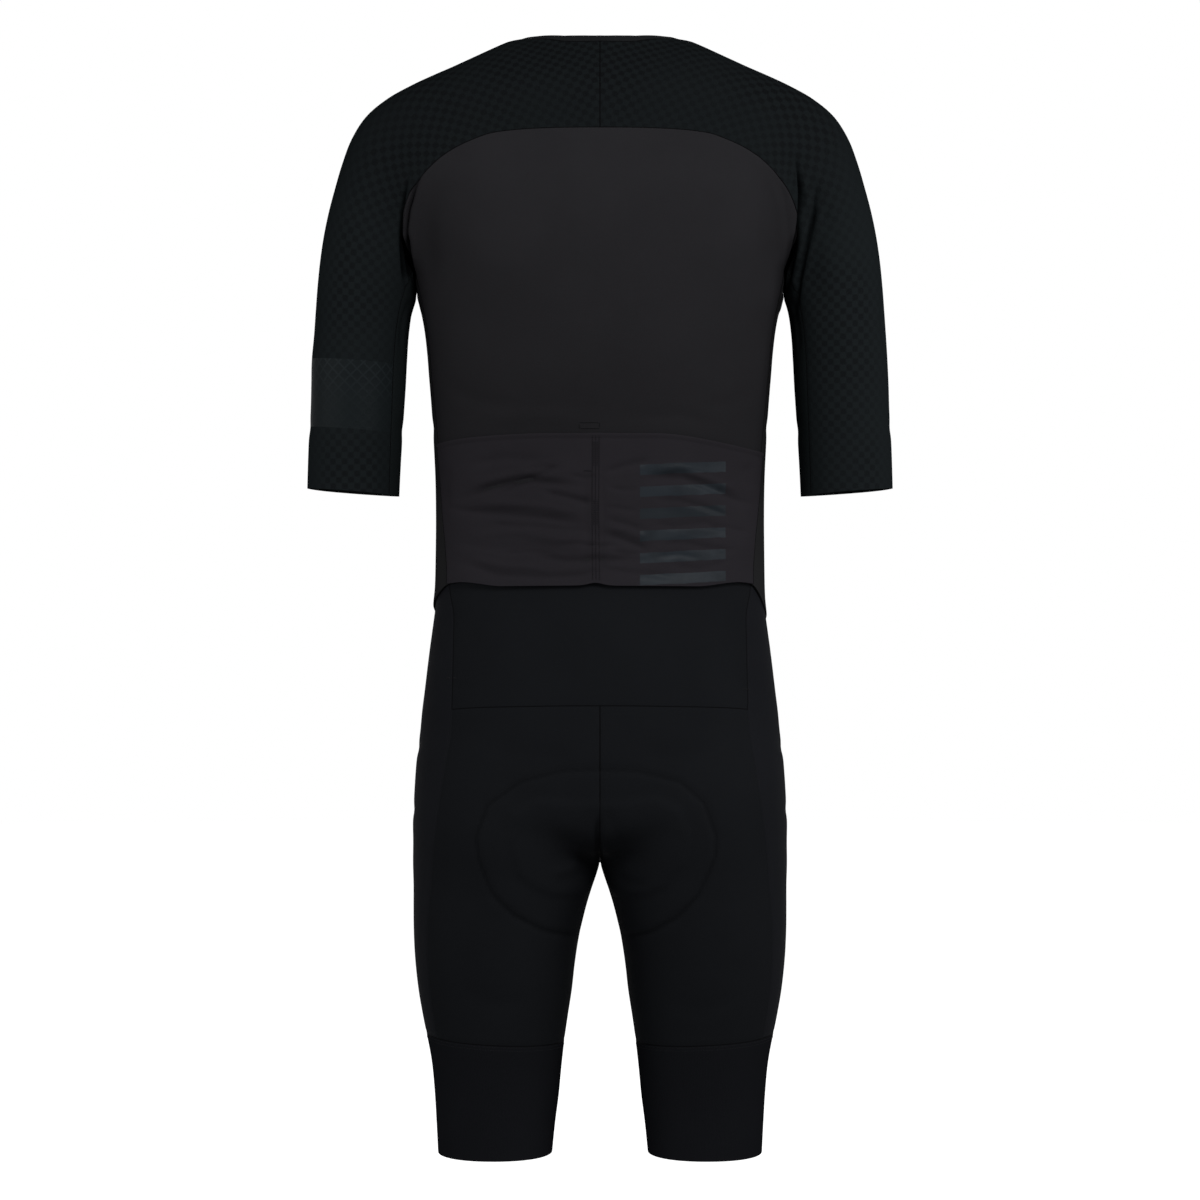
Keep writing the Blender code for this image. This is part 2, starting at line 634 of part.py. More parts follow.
def jersey_seams():
    lines = {}
    body = body_side
    sleeve = sleeve_side
    yoke = seen_from("back", YOKE_SEAM, body)
    armpit = np.array([armpit_point(y * MM) for y in np.linspace(*ARMPIT_Y, 13)])
    armpit_back, armpit_front = armpit[0], armpit[-1]
    raglan = np.vstack([seen_from("back", RAGLAN_BACK, body), armpit_back])
    side_back = np.vstack([armpit_back, seen_from("outer", SIDE_BACK, body, inside=TORSO_INSIDE_X)])
    side_front = np.vstack([armpit_front, seen_from("outer", SIDE_FRONT, body, inside=TORSO_INSIDE_X)])
    lines["yoke"] = seam(yoke, body, YOKE_CELLS)
    lines["raglan"] = seam(raglan, body, RAGLAN_CELLS)
    lines["armpit"] = spaced(armpit, ARMPIT_CELLS)

    pocket_side = 4         # the row of SIDE_BACK at the pocket's top
    lines["side_back_high"] = seam(side_back[:pocket_side + 1], body, SIDE_CELLS_HIGH)
    lines["side_back_low"] = seam(side_back[pocket_side:], body, SIDE_CELLS_LOW)
    lines["side_front"] = seam(side_front, body, SIDE_CELLS_HIGH + SIDE_CELLS_LOW)

    pocket = np.vstack([seen_from("back", POCKET_TOP[:-1], body), lines["side_back_low"][0]])
    lines["pocket_top"] = seam(pocket, body, YOKE_CELLS)
    hem = np.vstack([seen_from("back", BACK_HEM[:-1], body), lines["side_back_low"][-1]])
    lines["back_hem"] = seam(hem, body, YOKE_CELLS)

    lines["underarm_back"] = seam(
        np.vstack([armpit_back, seen_from("inner", UNDERARM_BACK, sleeve, inside=ARM_INSIDE_X)]),
        sleeve, SLEEVE_CELLS)
    lines["underarm_front"] = seam(
        np.vstack([armpit_front, seen_from("inner", UNDERARM_FRONT, sleeve, inside=ARM_INSIDE_X)]),
        sleeve, SLEEVE_CELLS)

    neck_back = neck_point(NECK_SEAM, 0, body)
    neck_raglan = neck_point(NECK_SEAM, RAGLAN_NECK_ANGLE, body)
    lines["centre_yoke"] = seam(
        np.vstack([lines["yoke"][0], seen_from("back", CENTRE_YOKE, body), neck_back]),
        body, CENTRE_YOKE_CELLS)
    lines["neck_back"] = neck_run(NECK_SEAM, 0, RAGLAN_NECK_ANGLE, NECK_CELLS, body)
    lines["neck_front"] = neck_run(NECK_SEAM, RAGLAN_NECK_ANGLE, zip_angle(NECK_SEAM), FRONT_NECK_CELLS, body)
    lines["rim_back"] = neck_run(NECK_RIM, 0, RAGLAN_NECK_ANGLE, NECK_CELLS, body)
    lines["rim_front"] = neck_run(NECK_RIM, RAGLAN_NECK_ANGLE, zip_angle(NECK_RIM), FRONT_NECK_CELLS, body)
    front_raglan = np.vstack([neck_raglan, seen_from("front", RAGLAN_FRONT, body), armpit_front])
    lines["raglan_front"] = seam(front_raglan, body, YOKE_CELLS + RAGLAN_CELLS)

    hem_front = cast([(ZIP_HALF_WIDTH * MM, 0, FRONT_HEM_Z * MM)], (0, 1, 0), body)[0]
    lines["front_hem"] = seam(
        np.vstack([lines["side_front"][-1], seen_from("front", FRONT_HEM, body), hem_front]), body, front_columns())
    side_hem_middle = seen_from("outer", ((0, SIDE_HEM_Z),), body, inside=TORSO_INSIDE_X)
    lines["side_hem"] = seam(
        np.vstack([lines["side_back_low"][-1], side_hem_middle, lines["side_front"][-1]]), body, ARMPIT_CELLS)
    front_rows = YOKE_CELLS + RAGLAN_CELLS - FRONT_TOP_RAGLAN_CELLS + SIDE_CELLS_HIGH + SIDE_CELLS_LOW
    lines["zip"] = seam(
        np.vstack([lines["neck_front"][-1], seen_from("front", ZIP_EDGE, body), hem_front]), body, front_rows)
    return lines


def front_columns():
    return FRONT_NECK_CELLS + FRONT_TOP_RAGLAN_CELLS


def tilted_ring(read, z, tilt, angles, form):
    """Points round a limb at a level that rises outwards. Angles start at the outer side."""
    centre, half_width = read("centre", z * MM), read("half_width", z * MM)
    turns = np.radians(angles)
    levels = z * MM + tilt * half_width * np.cos(turns)
    origins = np.stack([np.full(len(turns), centre), np.zeros(len(turns)), levels], axis=1)
    directions = np.stack([np.cos(turns), np.sin(turns), np.zeros(len(turns))], axis=1)
    return cast(origins, directions, form)


def angle_round(read, point):
    return math.degrees(math.atan2(point[1], point[0] - read("centre", point[2])))


def ring_stretch(read, z, tilt, start, end, cells, form):
    """The stretch of a level ring from one seam's end to another's."""
    ring = tilted_ring(read, z, tilt, np.linspace(start, end, RING_POINTS), form)
    return seam(ring, form, cells)


def sleeve_lines(lines):
    """The cuff, and the underarm seams brought to end exactly on it."""
    back_end, front_end = lines["underarm_back"][-1], lines["underarm_front"][-1]
    back_turn, front_turn = angle_round(arm_at, back_end), angle_round(arm_at, front_end)
    columns = CENTRE_YOKE_CELLS + NECK_CELLS
    lines["cuff"] = ring_stretch(arm_at, CUFF_Z, CUFF_TILT, back_turn, front_turn, columns, sleeve_side)
    lines["cuff_inner"] = ring_stretch(
        arm_at, CUFF_Z, CUFF_TILT, back_turn, front_turn - 360, ARMPIT_CELLS, sleeve_side)
    for name, end in (("underarm_back", 0), ("underarm_front", -1)):
        run = lines[name]
        lines[name] = seam(np.vstack([run[:-1], lines["cuff"][end]]), sleeve_side, SLEEVE_CELLS)


def shorts_seams(lines):
    form = shorts_form
    front_cells = ARMPIT_CELLS + front_columns() + 1
    waist_side = np.vstack([lines["back_hem"][-1], seen_from("back", WAIST_SIDE[1:], form)])
    lines["waist_side"] = seam(waist_side, form, WAIST_CELLS)
    lines["seat"] = seam(
        np.vstack([seen_from("back", SEAT_SEAM[:-1], form), lines["waist_side"][-1]]), form, YOKE_CELLS)

    outer_turn = angle_round(leg_at, seen_from("back", LEG_SIDE_BACK[-1:], form)[0])
    inner_turn = -180
    lines["band_back"] = ring_stretch(
        leg_at, BAND_SEAM_Z, BAND_SEAM_TILT, outer_turn, inner_turn, YOKE_CELLS, form)
    lines["band_front"] = ring_stretch(
        leg_at, BAND_SEAM_Z, BAND_SEAM_TILT, outer_turn, 360 + inner_turn, front_cells, form)
    lines["end_back"] = ring_stretch(leg_at, LEG_END_Z, 0, outer_turn, inner_turn, YOKE_CELLS, form)
    lines["end_front"] = ring_stretch(leg_at, LEG_END_Z, 0, outer_turn, 360 + inner_turn, front_cells, form)
    leg_side = np.vstack([lines["waist_side"][-1], seen_from("back", LEG_SIDE_BACK[1:-1], form),
                          lines["band_back"][0]])
    lines["leg_side"] = seam(leg_side, form, SEAT_CELLS + INSEAM_CELLS)

    turns = np.radians(np.arange(0, 181, CROTCH_FAN_STEP))
    fan = [(0, -math.cos(turn), -math.sin(turn)) for turn in turns]
    under = cast([(0, 0, CROTCH_FAN_Z * MM)] * len(fan), fan, form)
    middle = len(fan) // 2
    lines["centre_back"] = seam(
        np.vstack([lines["seat"][0], seen_from("back", CENTRE_BACK, form), under[:middle + 1]]),
        form, SEAT_CELLS)
    hem_centre = cast([(0, 0, FRONT_HEM_Z * MM)], (0, 1, 0), form)[0]
    lines["centre_front"] = seam(
        np.vstack([hem_centre, seen_from("front", CENTRE_FRONT, form), under[middle:][::-1]]),
        form, WAIST_CELLS + SEAT_CELLS)
    crotch = under[middle]
    origins = [(leg_at("centre", z * MM), 0, z * MM) for z in INSEAM_Z]
    lines["inseam"] = seam(
        np.vstack([crotch, cast(origins, (-1, 0, 0), form), lines["band_back"][-1]]), form, INSEAM_CELLS)


# ---------------------------------------------------------------- pieces

def both_halves(half):
    """A grid from the left side to the right, from one that starts at the centre."""
    return np.concatenate([mirrored(half, -1)[:, ::-1], half[:, 1:]], axis=1)


def back_grid(lines):
    """The back from the yoke seam to the hem, and the row at the pocket's top."""
    centre = np.array([0, 1, 1])
    pocket_row = RAGLAN_CELLS + SIDE_CELLS_HIGH

    def full(run):
        return joined(mirrored(run, -1)[::-1], run)
    yoke, pocket, hem = full(lines["yoke"]), full(lines["pocket_top"]), full(lines["back_hem"])
    side_high = joined(lines["raglan"], lines["side_back_high"])
    high = between(yoke, pocket, mirrored(side_high, -1), side_high, body_side)
    low = between(pocket, hem, mirrored(lines["side_back_low"], -1), lines["side_back_low"], body_side)
    grid = joined(high, low)
    grid[:, YOKE_CELLS] *= centre
    return grid, pocket_row


def sleeve_grid(lines):
    top = joined(lines["centre_yoke"], lines["neck_back"])
    back = joined(lines["yoke"], lines["raglan"], lines["underarm_back"])
    front = joined(lines["raglan_front"], lines["underarm_front"])
    return between(top, lines["cuff"], back, front, sleeve_side, rounds=EVEN_ROUNDS_LARGE)


def front_grid(lines):
    """A front, from the side seam to the zip."""
    raglan = lines["raglan_front"]
    top = joined(raglan[:FRONT_TOP_RAGLAN_CELLS + 1][::-1], lines["neck_front"])
    side = joined(raglan[FRONT_TOP_RAGLAN_CELLS:], lines["side_front"])
    return between(top, lines["front_hem"], side, lines["zip"], body_side)


def make_jersey(lines, collection):
    """The jersey's pieces. Returns the grids that the shorts and the pocket are made from."""
    back, pocket_row = back_grid(lines)
    back = folded(back, body_side)
    cloth("back", back, body_side, "plum", collection, ("top", "left", "right"))

    sleeve = sleeve_grid(lines)
    underarm = between(lines["armpit"], lines["cuff_inner"], lines["underarm_back"],
                       lines["underarm_front"], sleeve_side)
    side_back = joined(lines["side_back_high"], lines["side_back_low"])
    side_panel = between(lines["armpit"], lines["side_hem"], side_back, lines["side_front"], body_side)
    front = front_grid(lines)
    for name, side in SIDES:
        placed = folded(mirrored(sleeve, side), sleeve_side)
        cloth(f"sleeve_{name}", placed, sleeve_side, "textured", collection, ("top", "left", "right"))
        cloth(f"underarm_{name}", mirrored(underarm, side), sleeve_side, "plain", collection,
              ("top", "left", "right"))
        cloth(f"side_{name}", mirrored(side_panel, side), body_side, "plain", collection,
              ("top", "left", "right"))
        cloth(f"front_{name}", mirrored(front, side), body_side, "plum", collection,
              ("top", "left", "right"))
    make_neck_band(lines, collection)
    tape = make_zip_tapes(lines, collection)
    make_pocket(back, pocket_row, collection)
    return {"back": back, "side": side_panel, "front": front, "tape": tape}


def make_neck_band(lines, collection):
    """The binding round the neck, from one side of the zip to the other."""
    rim = joined(lines["rim_back"], lines["rim_front"])
    edge = joined(lines["neck_back"], lines["neck_front"])
    half = np.stack([rim, edge])
    cloth("neck_band", both_halves(half), body_side, "binding", collection, ("bottom", "left", "right"))


def make_zip_tapes(lines, collection):
    """A tape on each side of the zip, from the neck's rim to the hem."""
    edge = np.vstack([lines["rim_front"][-1], lines["zip"]])
    levels = edge[:, 2]
    rim_centre = neck_point(NECK_RIM, 180, body_side)
    lower = cast([(0, 0, z) for z in levels[1:]], (0, 1, 0), body_side)
    centre = np.vstack([rim_centre, lower])
    half = np.stack([edge, centre], axis=1)
    for name, side in SIDES:
        cloth(f"zip_tape_{name}", mirrored(half, side), body_side, "binding", collection, ("left", "right"))
    return half


def make_pocket(back, pocket_row, collection):
    """The rear pocket, made from the back's own points and moved out."""
    base = refined(back[pocket_row:], POCKET_ROWS_PER_CELL)
    facing = refined(normals(back[pocket_row:], body_side), POCKET_ROWS_PER_CELL)
    rows, columns = base.shape[:2]
    across = np.sin(np.linspace(0, math.pi, columns))[None, :] ** 0.5
    down = np.sin(np.linspace(POCKET_TOP_SHARE, 1, rows) * math.pi)[:, None] ** 0.5
    belly = POCKET_BELLY * MM * across * down
    relief = fold_relief(base, POCKET_FOLDS)
    lift = LAYER_GAP + np.maximum(belly + relief, POCKET_LEAST_LIFT * MM)
    inner = base + facing * lift[..., None]
    outer = inner + facing * WALL
    outer, inner = (parted_edges(layer, facing, ("left", "right")) for layer in (outer, inner))
    wall("rear_pocket", outer, inner, "plum", collection)


def under_hem(grid):
    """The two rows of the shorts that lie under a jersey piece's last row."""
    upper = grid[-1] * (1 - HEM_OVERLAP) + grid[-2] * HEM_OVERLAP
    return upper, grid[-1]


def make_shorts(lines, jersey, collection):
    def inset(rows):
        depth = np.zeros(rows)
        depth[:len(SHORTS_INSET)] = SHORTS_INSET
        return depth[:, None, None] * MM

    upper, hem = under_hem(jersey["back"])
    seat = joined(mirrored(lines["seat"], -1)[::-1], lines["seat"])
    lower = between(hem, seat, mirrored(lines["waist_side"], -1), lines["waist_side"], shorts_form)
    waist = np.concatenate([upper[None], lower])
    cloth("waist_back", waist, shorts_form, "shorts", collection, ("bottom", "left", "right"),
          inset=inset(len(waist)))

    pieces = [under_hem(jersey[name]) for name in ("side", "front", "tape")]
    upper = joined(*(piece[0] for piece in pieces))
    hem = joined(*(piece[1] for piece in pieces))
    side = joined(lines["waist_side"], lines["leg_side"])
    centre = joined(lines["centre_front"], lines["inseam"])
    centre[0] = hem[-1]
    lower = between(hem, lines["band_front"], side, centre, shorts_form, rounds=EVEN_ROUNDS_LARGE)
    leg_front = np.concatenate([upper[None], lower])
    leg_back = between(lines["seat"][::-1], lines["band_back"], lines["leg_side"],
                       joined(lines["centre_back"], lines["inseam"]), shorts_form)
    ring_top = joined(lines["band_back"][::-1], lines["band_front"])
    ring_end = joined(lines["end_back"][::-1], lines["end_front"])
    rows = np.linspace(0, 1, BAND_CELLS + 1)[:, None, None]
    band = snap(ring_top[None] * (1 - rows) + ring_end[None] * rows, shorts_form)
    band[:, -1] = band[:, 0]
    for name, sign in SIDES:
        cloth(f"leg_front_{name}", mirrored(leg_front, sign), shorts_form, "shorts", collection,
              ("bottom", "left", "right"), inset=inset(len(leg_front)))
        placed = folded(mirrored(leg_back, sign), shorts_form, extra=pad_relief(mirrored(leg_back, sign)))
        cloth(f"leg_back_{name}", placed, shorts_form, "shorts", collection,
              ("top", "bottom", "left", "right"))
        cloth(f"leg_band_{name}", mirrored(band, sign), shorts_form, "gripper", collection,
              ("top",), ring=True)


def make_pad(lines, collection):
    """The seat pad inside the shorts: one piece that spans the crotch."""
    form = shorts_form
    across, along = PAD_CELLS
    top_z, drop_z = PAD_TOP[0][1] * MM, PAD_DROP_Z * MM
    above = [point for point in lines["centre_back"] if point[2] < top_z]
    below = [point for point in lines["inseam"][1:] if point[2] > drop_z]
    top = seen_from("back", PAD_TOP, form)
    end_inner = cast([(leg_at("centre", drop_z), PAD_DROP_Y * MM, drop_z)], (-1, 0, 0), form)[0]
    end = np.vstack([seen_from("back", PAD_END, form), end_inner])
    centre = joined(
        seam(np.vstack([top[0], above]), form, PAD_ROWS_BEHIND),
        seam(np.vstack([lines["inseam"][0], below, end_inner]), form, along - PAD_ROWS_BEHIND))
    outline = seam(seen_from("back", PAD_SIDE, form), form, along)
    half = between(seam(top, form, across)[::-1], seam(end, form, across), outline, centre, form)
    facing = normals(half, form)
    rise_across = np.sin(np.linspace(0, 0.5, across + 1) * math.pi)[None, :]
    rise_along = np.sin(np.linspace(0, 1, along + 1) * math.pi)[:, None]
    thickness = PAD_EDGE + (PAD_MIDDLE - PAD_EDGE) * rise_across * rise_along
    outer = half - facing * PAD_DEPTH
    inner = outer - facing * thickness[..., None]
    mesh = bmesh.new()
    for layer in (outer, inner):
        for side in (1, -1):
            for vertex, place in zip(grid_vertices(mesh, along, across), mirrored(layer, side).reshape(-1, 3)):
                vertex.co = place
    rim = [edge for edge in mesh.edges if edge.is_boundary and not on_middle(edge)]
    bridge_rims(mesh, rim)
    bmesh.ops.remove_doubles(mesh, verts=mesh.verts, dist=1e-6)
    bmesh.ops.recalc_face_normals(mesh, faces=mesh.faces)
    bmesh.ops.triangulate(mesh, faces=mesh.faces, quad_method="SHORT_EDGE")
    add_object("pad", mesh, "foam", collection)


def on_middle(edge):
    return all(abs(vertex.co.x) < 1e-6 for vertex in edge.verts)


# ---------------------------------------------------------------- zip slider and pull

def zip_place():
    """The slider's place on the zip, and the directions across, up and out of it."""
    point = cast([(0, 0, SLIDER_Z * MM)], (0, 1, 0), body_side)[0]
    out = normals(point[None], body_side)[0]
    out = Vector((0, out[1], out[2])).normalized()
    across = Vector((-1, 0, 0))
    return Vector(point), across, out.cross(across), out


def block(name, size, centre, place, collection, bevel=0.0):
    """A block, sized and placed across, up and out of the zip."""
    point, across, up, out = place
    mesh = bmesh.new()
    bmesh.ops.create_cube(mesh, size=1.0)
    bmesh.ops.scale(mesh, verts=mesh.verts, vec=size)
    if bevel:
        bmesh.ops.bevel(mesh, geom=list(mesh.edges), offset=bevel, segments=2, affect="EDGES", profile=0.5)
    turn = Matrix((across, up, out)).transposed().to_4x4()
    moved = point + across * centre[0] + up * centre[1] + out * centre[2]
    bmesh.ops.transform(mesh, matrix=Matrix.Translation(moved) @ turn, verts=mesh.verts)
    return add_object(name, mesh, "metal", collection)


def add_boolean(target, cutter, operation):
    modifier = target.modifiers.new(cutter.name, "BOOLEAN")
    modifier.operation = operation
    modifier.object = cutter
    cutter.hide_render = True
    cutter.display_type = "WIRE"


def make_zip_hardware(collection, cutters):
    """The slider, and the pull that hangs from its bridge and swings about a bar across the zip."""
    place = zip_place()
    width, length, thickness = (size * MM for size in SLIDER)
    bridge_width, bridge_length, room, bridge_thickness = (size * MM for size in BRIDGE)
    top = LAYER_GAP + thickness
    slider = block("zip_slider", (width, length, thickness), (0, 0, LAYER_GAP + thickness / 2),
                   place, collection, bevel=SLIDER_BEVEL * MM)
    arch_height = room + bridge_thickness + BRIDGE_ROOT * MM
    arch = block("bridge", (bridge_width, bridge_length, arch_height),
                 (0, 0, top - BRIDGE_ROOT * MM + arch_height / 2), place, cutters)
    under = block("bridge_room", (2 * bridge_width, bridge_length - 2 * bridge_thickness, room),
                  (0, 0, top + room / 2), place, cutters)
    add_boolean(arch, under, "DIFFERENCE")
    add_boolean(slider, arch, "UNION")

    pull_width, pull_length, pull_thickness = (size * MM for size in PULL)
    window_width, window_length = (size * MM for size in PULL_WINDOW)
    bar = PULL_BAR * MM
    height = top + room / 2
    pull = block("zip_pull", (pull_width, pull_length, pull_thickness),
                 (0, bar / 2 - pull_length / 2, height), place, collection, bevel=PULL_BEVEL * MM)
    window = block("pull_window", (window_width, window_length, 4 * pull_thickness),
                   (0, -bar / 2 - window_length / 2, height), place, cutters)
    add_boolean(pull, window, "DIFFERENCE")
    point, _, _, out = place
    hinge = point + out * height
    pull.data.transform(Matrix.Translation(-hinge))
    pull.location = hinge


# ---------------------------------------------------------------- the whole suit

def main():
    for old in list(bpy.data.objects):
        bpy.data.objects.remove(old, do_unlink=True)
    suit = bpy.data.collections.new("cycling_skinsuit")
    cutters = bpy.data.collections.new("cutters")
    for collection in (suit, cutters):
        bpy.context.scene.collection.children.link(collection)
    lines = jersey_seams()
    sleeve_lines(lines)
    shorts_seams(lines)
    jersey = make_jersey(lines, suit)
    make_shorts(lines, jersey, suit)
    make_pad(lines, suit)
    make_zip_hardware(suit, cutters)


if __name__ == "__main__":
    main()
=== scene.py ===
"""Looks of a cycling skinsuit: its knits, creases, sewing, zip and pad.

Each piece of cloth is a thin shell through the points of its solid, with an even mesh, a
flat pattern of its own in metres as its UV map, and the creases pressed in as soft troughs
and ridges. Sizes are in metres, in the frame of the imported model.
"""

import math

import bmesh
import bpy
import numpy as np
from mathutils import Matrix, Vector


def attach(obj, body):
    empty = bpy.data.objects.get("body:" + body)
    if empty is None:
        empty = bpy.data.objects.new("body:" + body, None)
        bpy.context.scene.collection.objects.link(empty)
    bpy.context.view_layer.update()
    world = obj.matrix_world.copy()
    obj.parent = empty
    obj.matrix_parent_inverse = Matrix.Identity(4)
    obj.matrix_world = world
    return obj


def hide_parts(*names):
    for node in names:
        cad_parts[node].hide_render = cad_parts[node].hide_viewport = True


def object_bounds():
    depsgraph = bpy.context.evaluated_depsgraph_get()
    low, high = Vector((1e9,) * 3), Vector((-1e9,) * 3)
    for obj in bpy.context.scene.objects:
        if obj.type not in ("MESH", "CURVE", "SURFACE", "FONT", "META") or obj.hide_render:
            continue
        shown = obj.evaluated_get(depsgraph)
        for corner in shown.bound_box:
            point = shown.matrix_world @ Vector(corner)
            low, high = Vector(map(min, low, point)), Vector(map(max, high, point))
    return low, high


bl_info = {
    "name": "Cycling skinsuit",
    "version": (1, 0, 0),
    "blender": (4, 5, 0),
    "location": "View3D > Sidebar > Skinsuit",
    "description": "Dresses a cycling skinsuit in its knits, sewing, zip and pad",
    "category": "Object",
}

MM = 0.001
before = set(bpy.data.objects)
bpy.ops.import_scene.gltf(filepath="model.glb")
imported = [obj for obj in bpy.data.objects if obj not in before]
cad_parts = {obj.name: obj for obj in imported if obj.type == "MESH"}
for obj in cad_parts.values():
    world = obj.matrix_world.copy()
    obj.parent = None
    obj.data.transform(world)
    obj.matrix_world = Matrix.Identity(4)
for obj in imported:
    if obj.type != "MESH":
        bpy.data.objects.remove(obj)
CAD_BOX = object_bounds()
SIDES = "right", "left"

# ---- how a solid's outside is read ----
MERGE = 2e-6                # points this near are one
RIM_EDGE = 1.6 * MM         # a wall's rim has an edge shorter than this
TURN_SOFT, TURN_SHARP = 35, 60      # degrees: a run that turns more than this keeps its corner
CLOSER, CLOSE_REACH = 1.3, 22 * MM  # how much closer a mesh gets near an armpit's seam, and how far
CUT_LAP = 3                 # columns read past the cut of a ring
SMOOTH_ANGLE = 50           # degrees: a shell's sharper edges stay sharp

# ---- how creases are pressed in, and the shade painted into them ----
NARROW, FULL_FOLD_SHADE = 5.0, 0.0032     # a crease narrower than this, in mm, is painted darker as shade, up to this depth
BROAD = 12                  # mm: a wider crease keeps its height to its ends
FOLD_PAINTED_SHADE, FOLD_PAINTED_SHADE_SHARE = 0.12, 0.85     # painted shade in a deep fold: how light it is, and how far it gets there
GROOVE_PAINTED_SHADE = 0.4          # how far the pad's groove counts as a fold and gets its painted shade

# ---- which corner of its top edge a piece's first column starts at ----
STARTS = {
    "left": lambda point: point.x,
    "centre": lambda point: abs(point.x),
    "outer": lambda point: -abs(point.x),
    "back": lambda point: point.y,
}

# ---- creases: depth and width in mm, and a run in mm. Seen from behind and from the front a
# run is (x, z), from either side it is (y, z). A depth below zero is a ridge. ----
BACK_CREASES = (
    # left armpit
    (2.3, 1.8, ((-170.4, -127), (-174.7, -146.4), (-178.8, -165.5), (-179.4, -183.5), (-177.6, -201.4),
                (-176.4, -219.4), (-174.6, -240))),
    (2.2, 1.5, ((-156.7, -129.7), (-165, -145.3), (-171.1, -163.2), (-174, -179.9), (-173.6, -195.5),
                (-171.2, -211), (-168.6, -232))),
    (-0.7, 1.8, ((-162.5, -133), (-169, -149), (-174.6, -167), (-176.8, -182), (-175.6, -198))),
    (-0.4, 2.4, ((-155, -140), (-164, -158), (-169, -178), (-168.6, -200), (-166, -220))),
    (2.0, 4.0, ((-174, -184), (-174.5, -200), (-173, -214), (-171, -226))),
    (-1.2, 4.0, ((-171, -234), (-170, -242), (-169, -252))),
    (0.5, 3.0, ((-178, -132), (-184, -152), (-186, -176), (-184, -198))),
    # right armpit
    (3.0, 1.7, ((174, -112), (178.2, -132.1), (180, -148.9), (179.8, -164.4), (178.2, -179.9),
                (175.8, -196.7), (172.2, -213.5), (169.3, -229), (167.5, -242))),
    (-0.9, 2.6, ((182, -128), (185.5, -146), (186.5, -162), (184.5, -178), (181, -194), (177, -212))),
    (2.4, 2.0, ((195, -138), (192.8, -163.2), (189.5, -179.9), (185.9, -195.5), (183, -208.6),
                (180, -223), (178.2, -237.3), (175.2, -262))),
    (-0.6, 3.0, ((200, -152), (197, -172), (192, -194), (187, -214), (183, -236))),
    (1.2, 3.0, ((174.5, -182), (172, -198), (169.5, -212), (168, -224))),
    (-1.2, 4.0, ((168, -232), (167, -242), (166, -252))),
    (0.5, 2.6, ((156, -128), (165, -153.6), (168.6, -177.5), (169.8, -195.5), (169, -214))),
    (-0.4, 3.0, ((150, -134), (158, -156), (162, -180), (163, -204))),
    # shoulder blades
    (-1.3, 30, ((-116, -152), (-124, -180))),
    (-1.6, 32, ((112, -156), (120, -186))),
    (1.1, 30, ((-112, -246), (-66, -256))),
    (1.1, 30, ((100, -248), (56, -258))),
    # under the pocket's upper edge and above the hips
    (-0.7, 7, ((-110, -352), (-60, -349), (-10, -352))),
    (0.5, 6, ((22, -352), (70, -349), (112, -356))),
    (0.6, 7, ((-140, -318), (-112, -334), (-70, -342))),
    (0.5, 7, ((140, -322), (118, -336), (84, -342))),
    # waist and seat
    (0.7, 3.0, ((131, -604), (137, -612), (143, -616))),
    (0.6, 3.0, ((-131, -592), (-120, -588), (-110, -588))),
    (0.5, 9, ((-110, -640), (-60, -650), (-20, -648))),
    (0.5, 9, ((24, -646), (66, -650), (108, -640))),
    (1.6, 3.4, ((-1, -698), (-3, -716), (-1, -736), (0, -752))),
    (0.5, 5.2, ((-3, -690), (-12, -706), (-18, -726))),
    (0.5, 5.2, ((4, -694), (13, -712), (20, -730))),
    (0.6, 5.2, ((-12, -752), (-26, -760), (-42, -762))),
    (0.6, 5.2, ((13, -756), (28, -764), (44, -764))),
    (-0.5, 4.0, ((-16, -744), (-30, -751), (-46, -753))),
    (0.5, 9, ((-128, -860), (-92, -872), (-58, -868))),
    (0.5, 9, ((54, -872), (90, -878), (126, -864))),
)
FRONT_CREASES = (
    (1.3, 2.8, ((150, -116), (160, -136), (166, -160), (169, -186), (166, -214))),
    (-0.8, 3.2, ((143, -122), (153, -142), (159, -166), (162, -190))),
    (1.0, 2.8, ((168, -132), (174, -158), (176, -186), (172, -216))),
    (0.6, 4.5, ((134, -126), (144, -154), (148, -186), (146, -214))),
    (1.2, 2.8, ((-152, -118), (-161, -140), (-167, -166), (-168, -192), (-165, -216))),
    (-0.7, 3.2, ((-145, -124), (-154, -146), (-160, -172), (-161, -196))),
    (0.9, 2.8, ((-170, -128), (-176, -156), (-177, -184), (-172, -212))),
    (0.7, 8, ((20, -420), (50, -430), (88, -424), (120, -430))),
    (-0.5, 8, ((24, -438), (60, -446), (100, -444))),
    (0.7, 8, ((-22, -432), (-58, -440), (-96, -430), (-126, -436))),
    (0.8, 6, ((16, -492), (52, -500), (92, -494), (130, -502))),
    (0.7, 6, ((-18, -486), (-60, -496), (-104, -494))),
    (0.6, 6, ((-40, -524), (-84, -530), (-126, -522))),
    (1.0, 5, ((14, -700), (40, -690), (70, -676), (104, -668))),
    (-0.6, 5, ((18, -712), (46, -702), (78, -689))),
    (0.9, 5, ((-12, -704), (-38, -692), (-72, -680), (-100, -674))),
    (0.8, 5, ((-14, -722), (-44, -716), (-76, -704))),
    (0.8, 5, ((18, -728), (50, -722), (84, -712))),
    (0.6, 8, ((126, -640), (96, -648), (66, -644))),
    (0.6, 8, ((-128, -648), (-92, -656), (-64, -650))),
    (0.5, 9, ((60, -860), (96, -868), (126, -860))),
    (0.5, 9, ((-62, -852), (-94, -860), (-124, -854))),
)
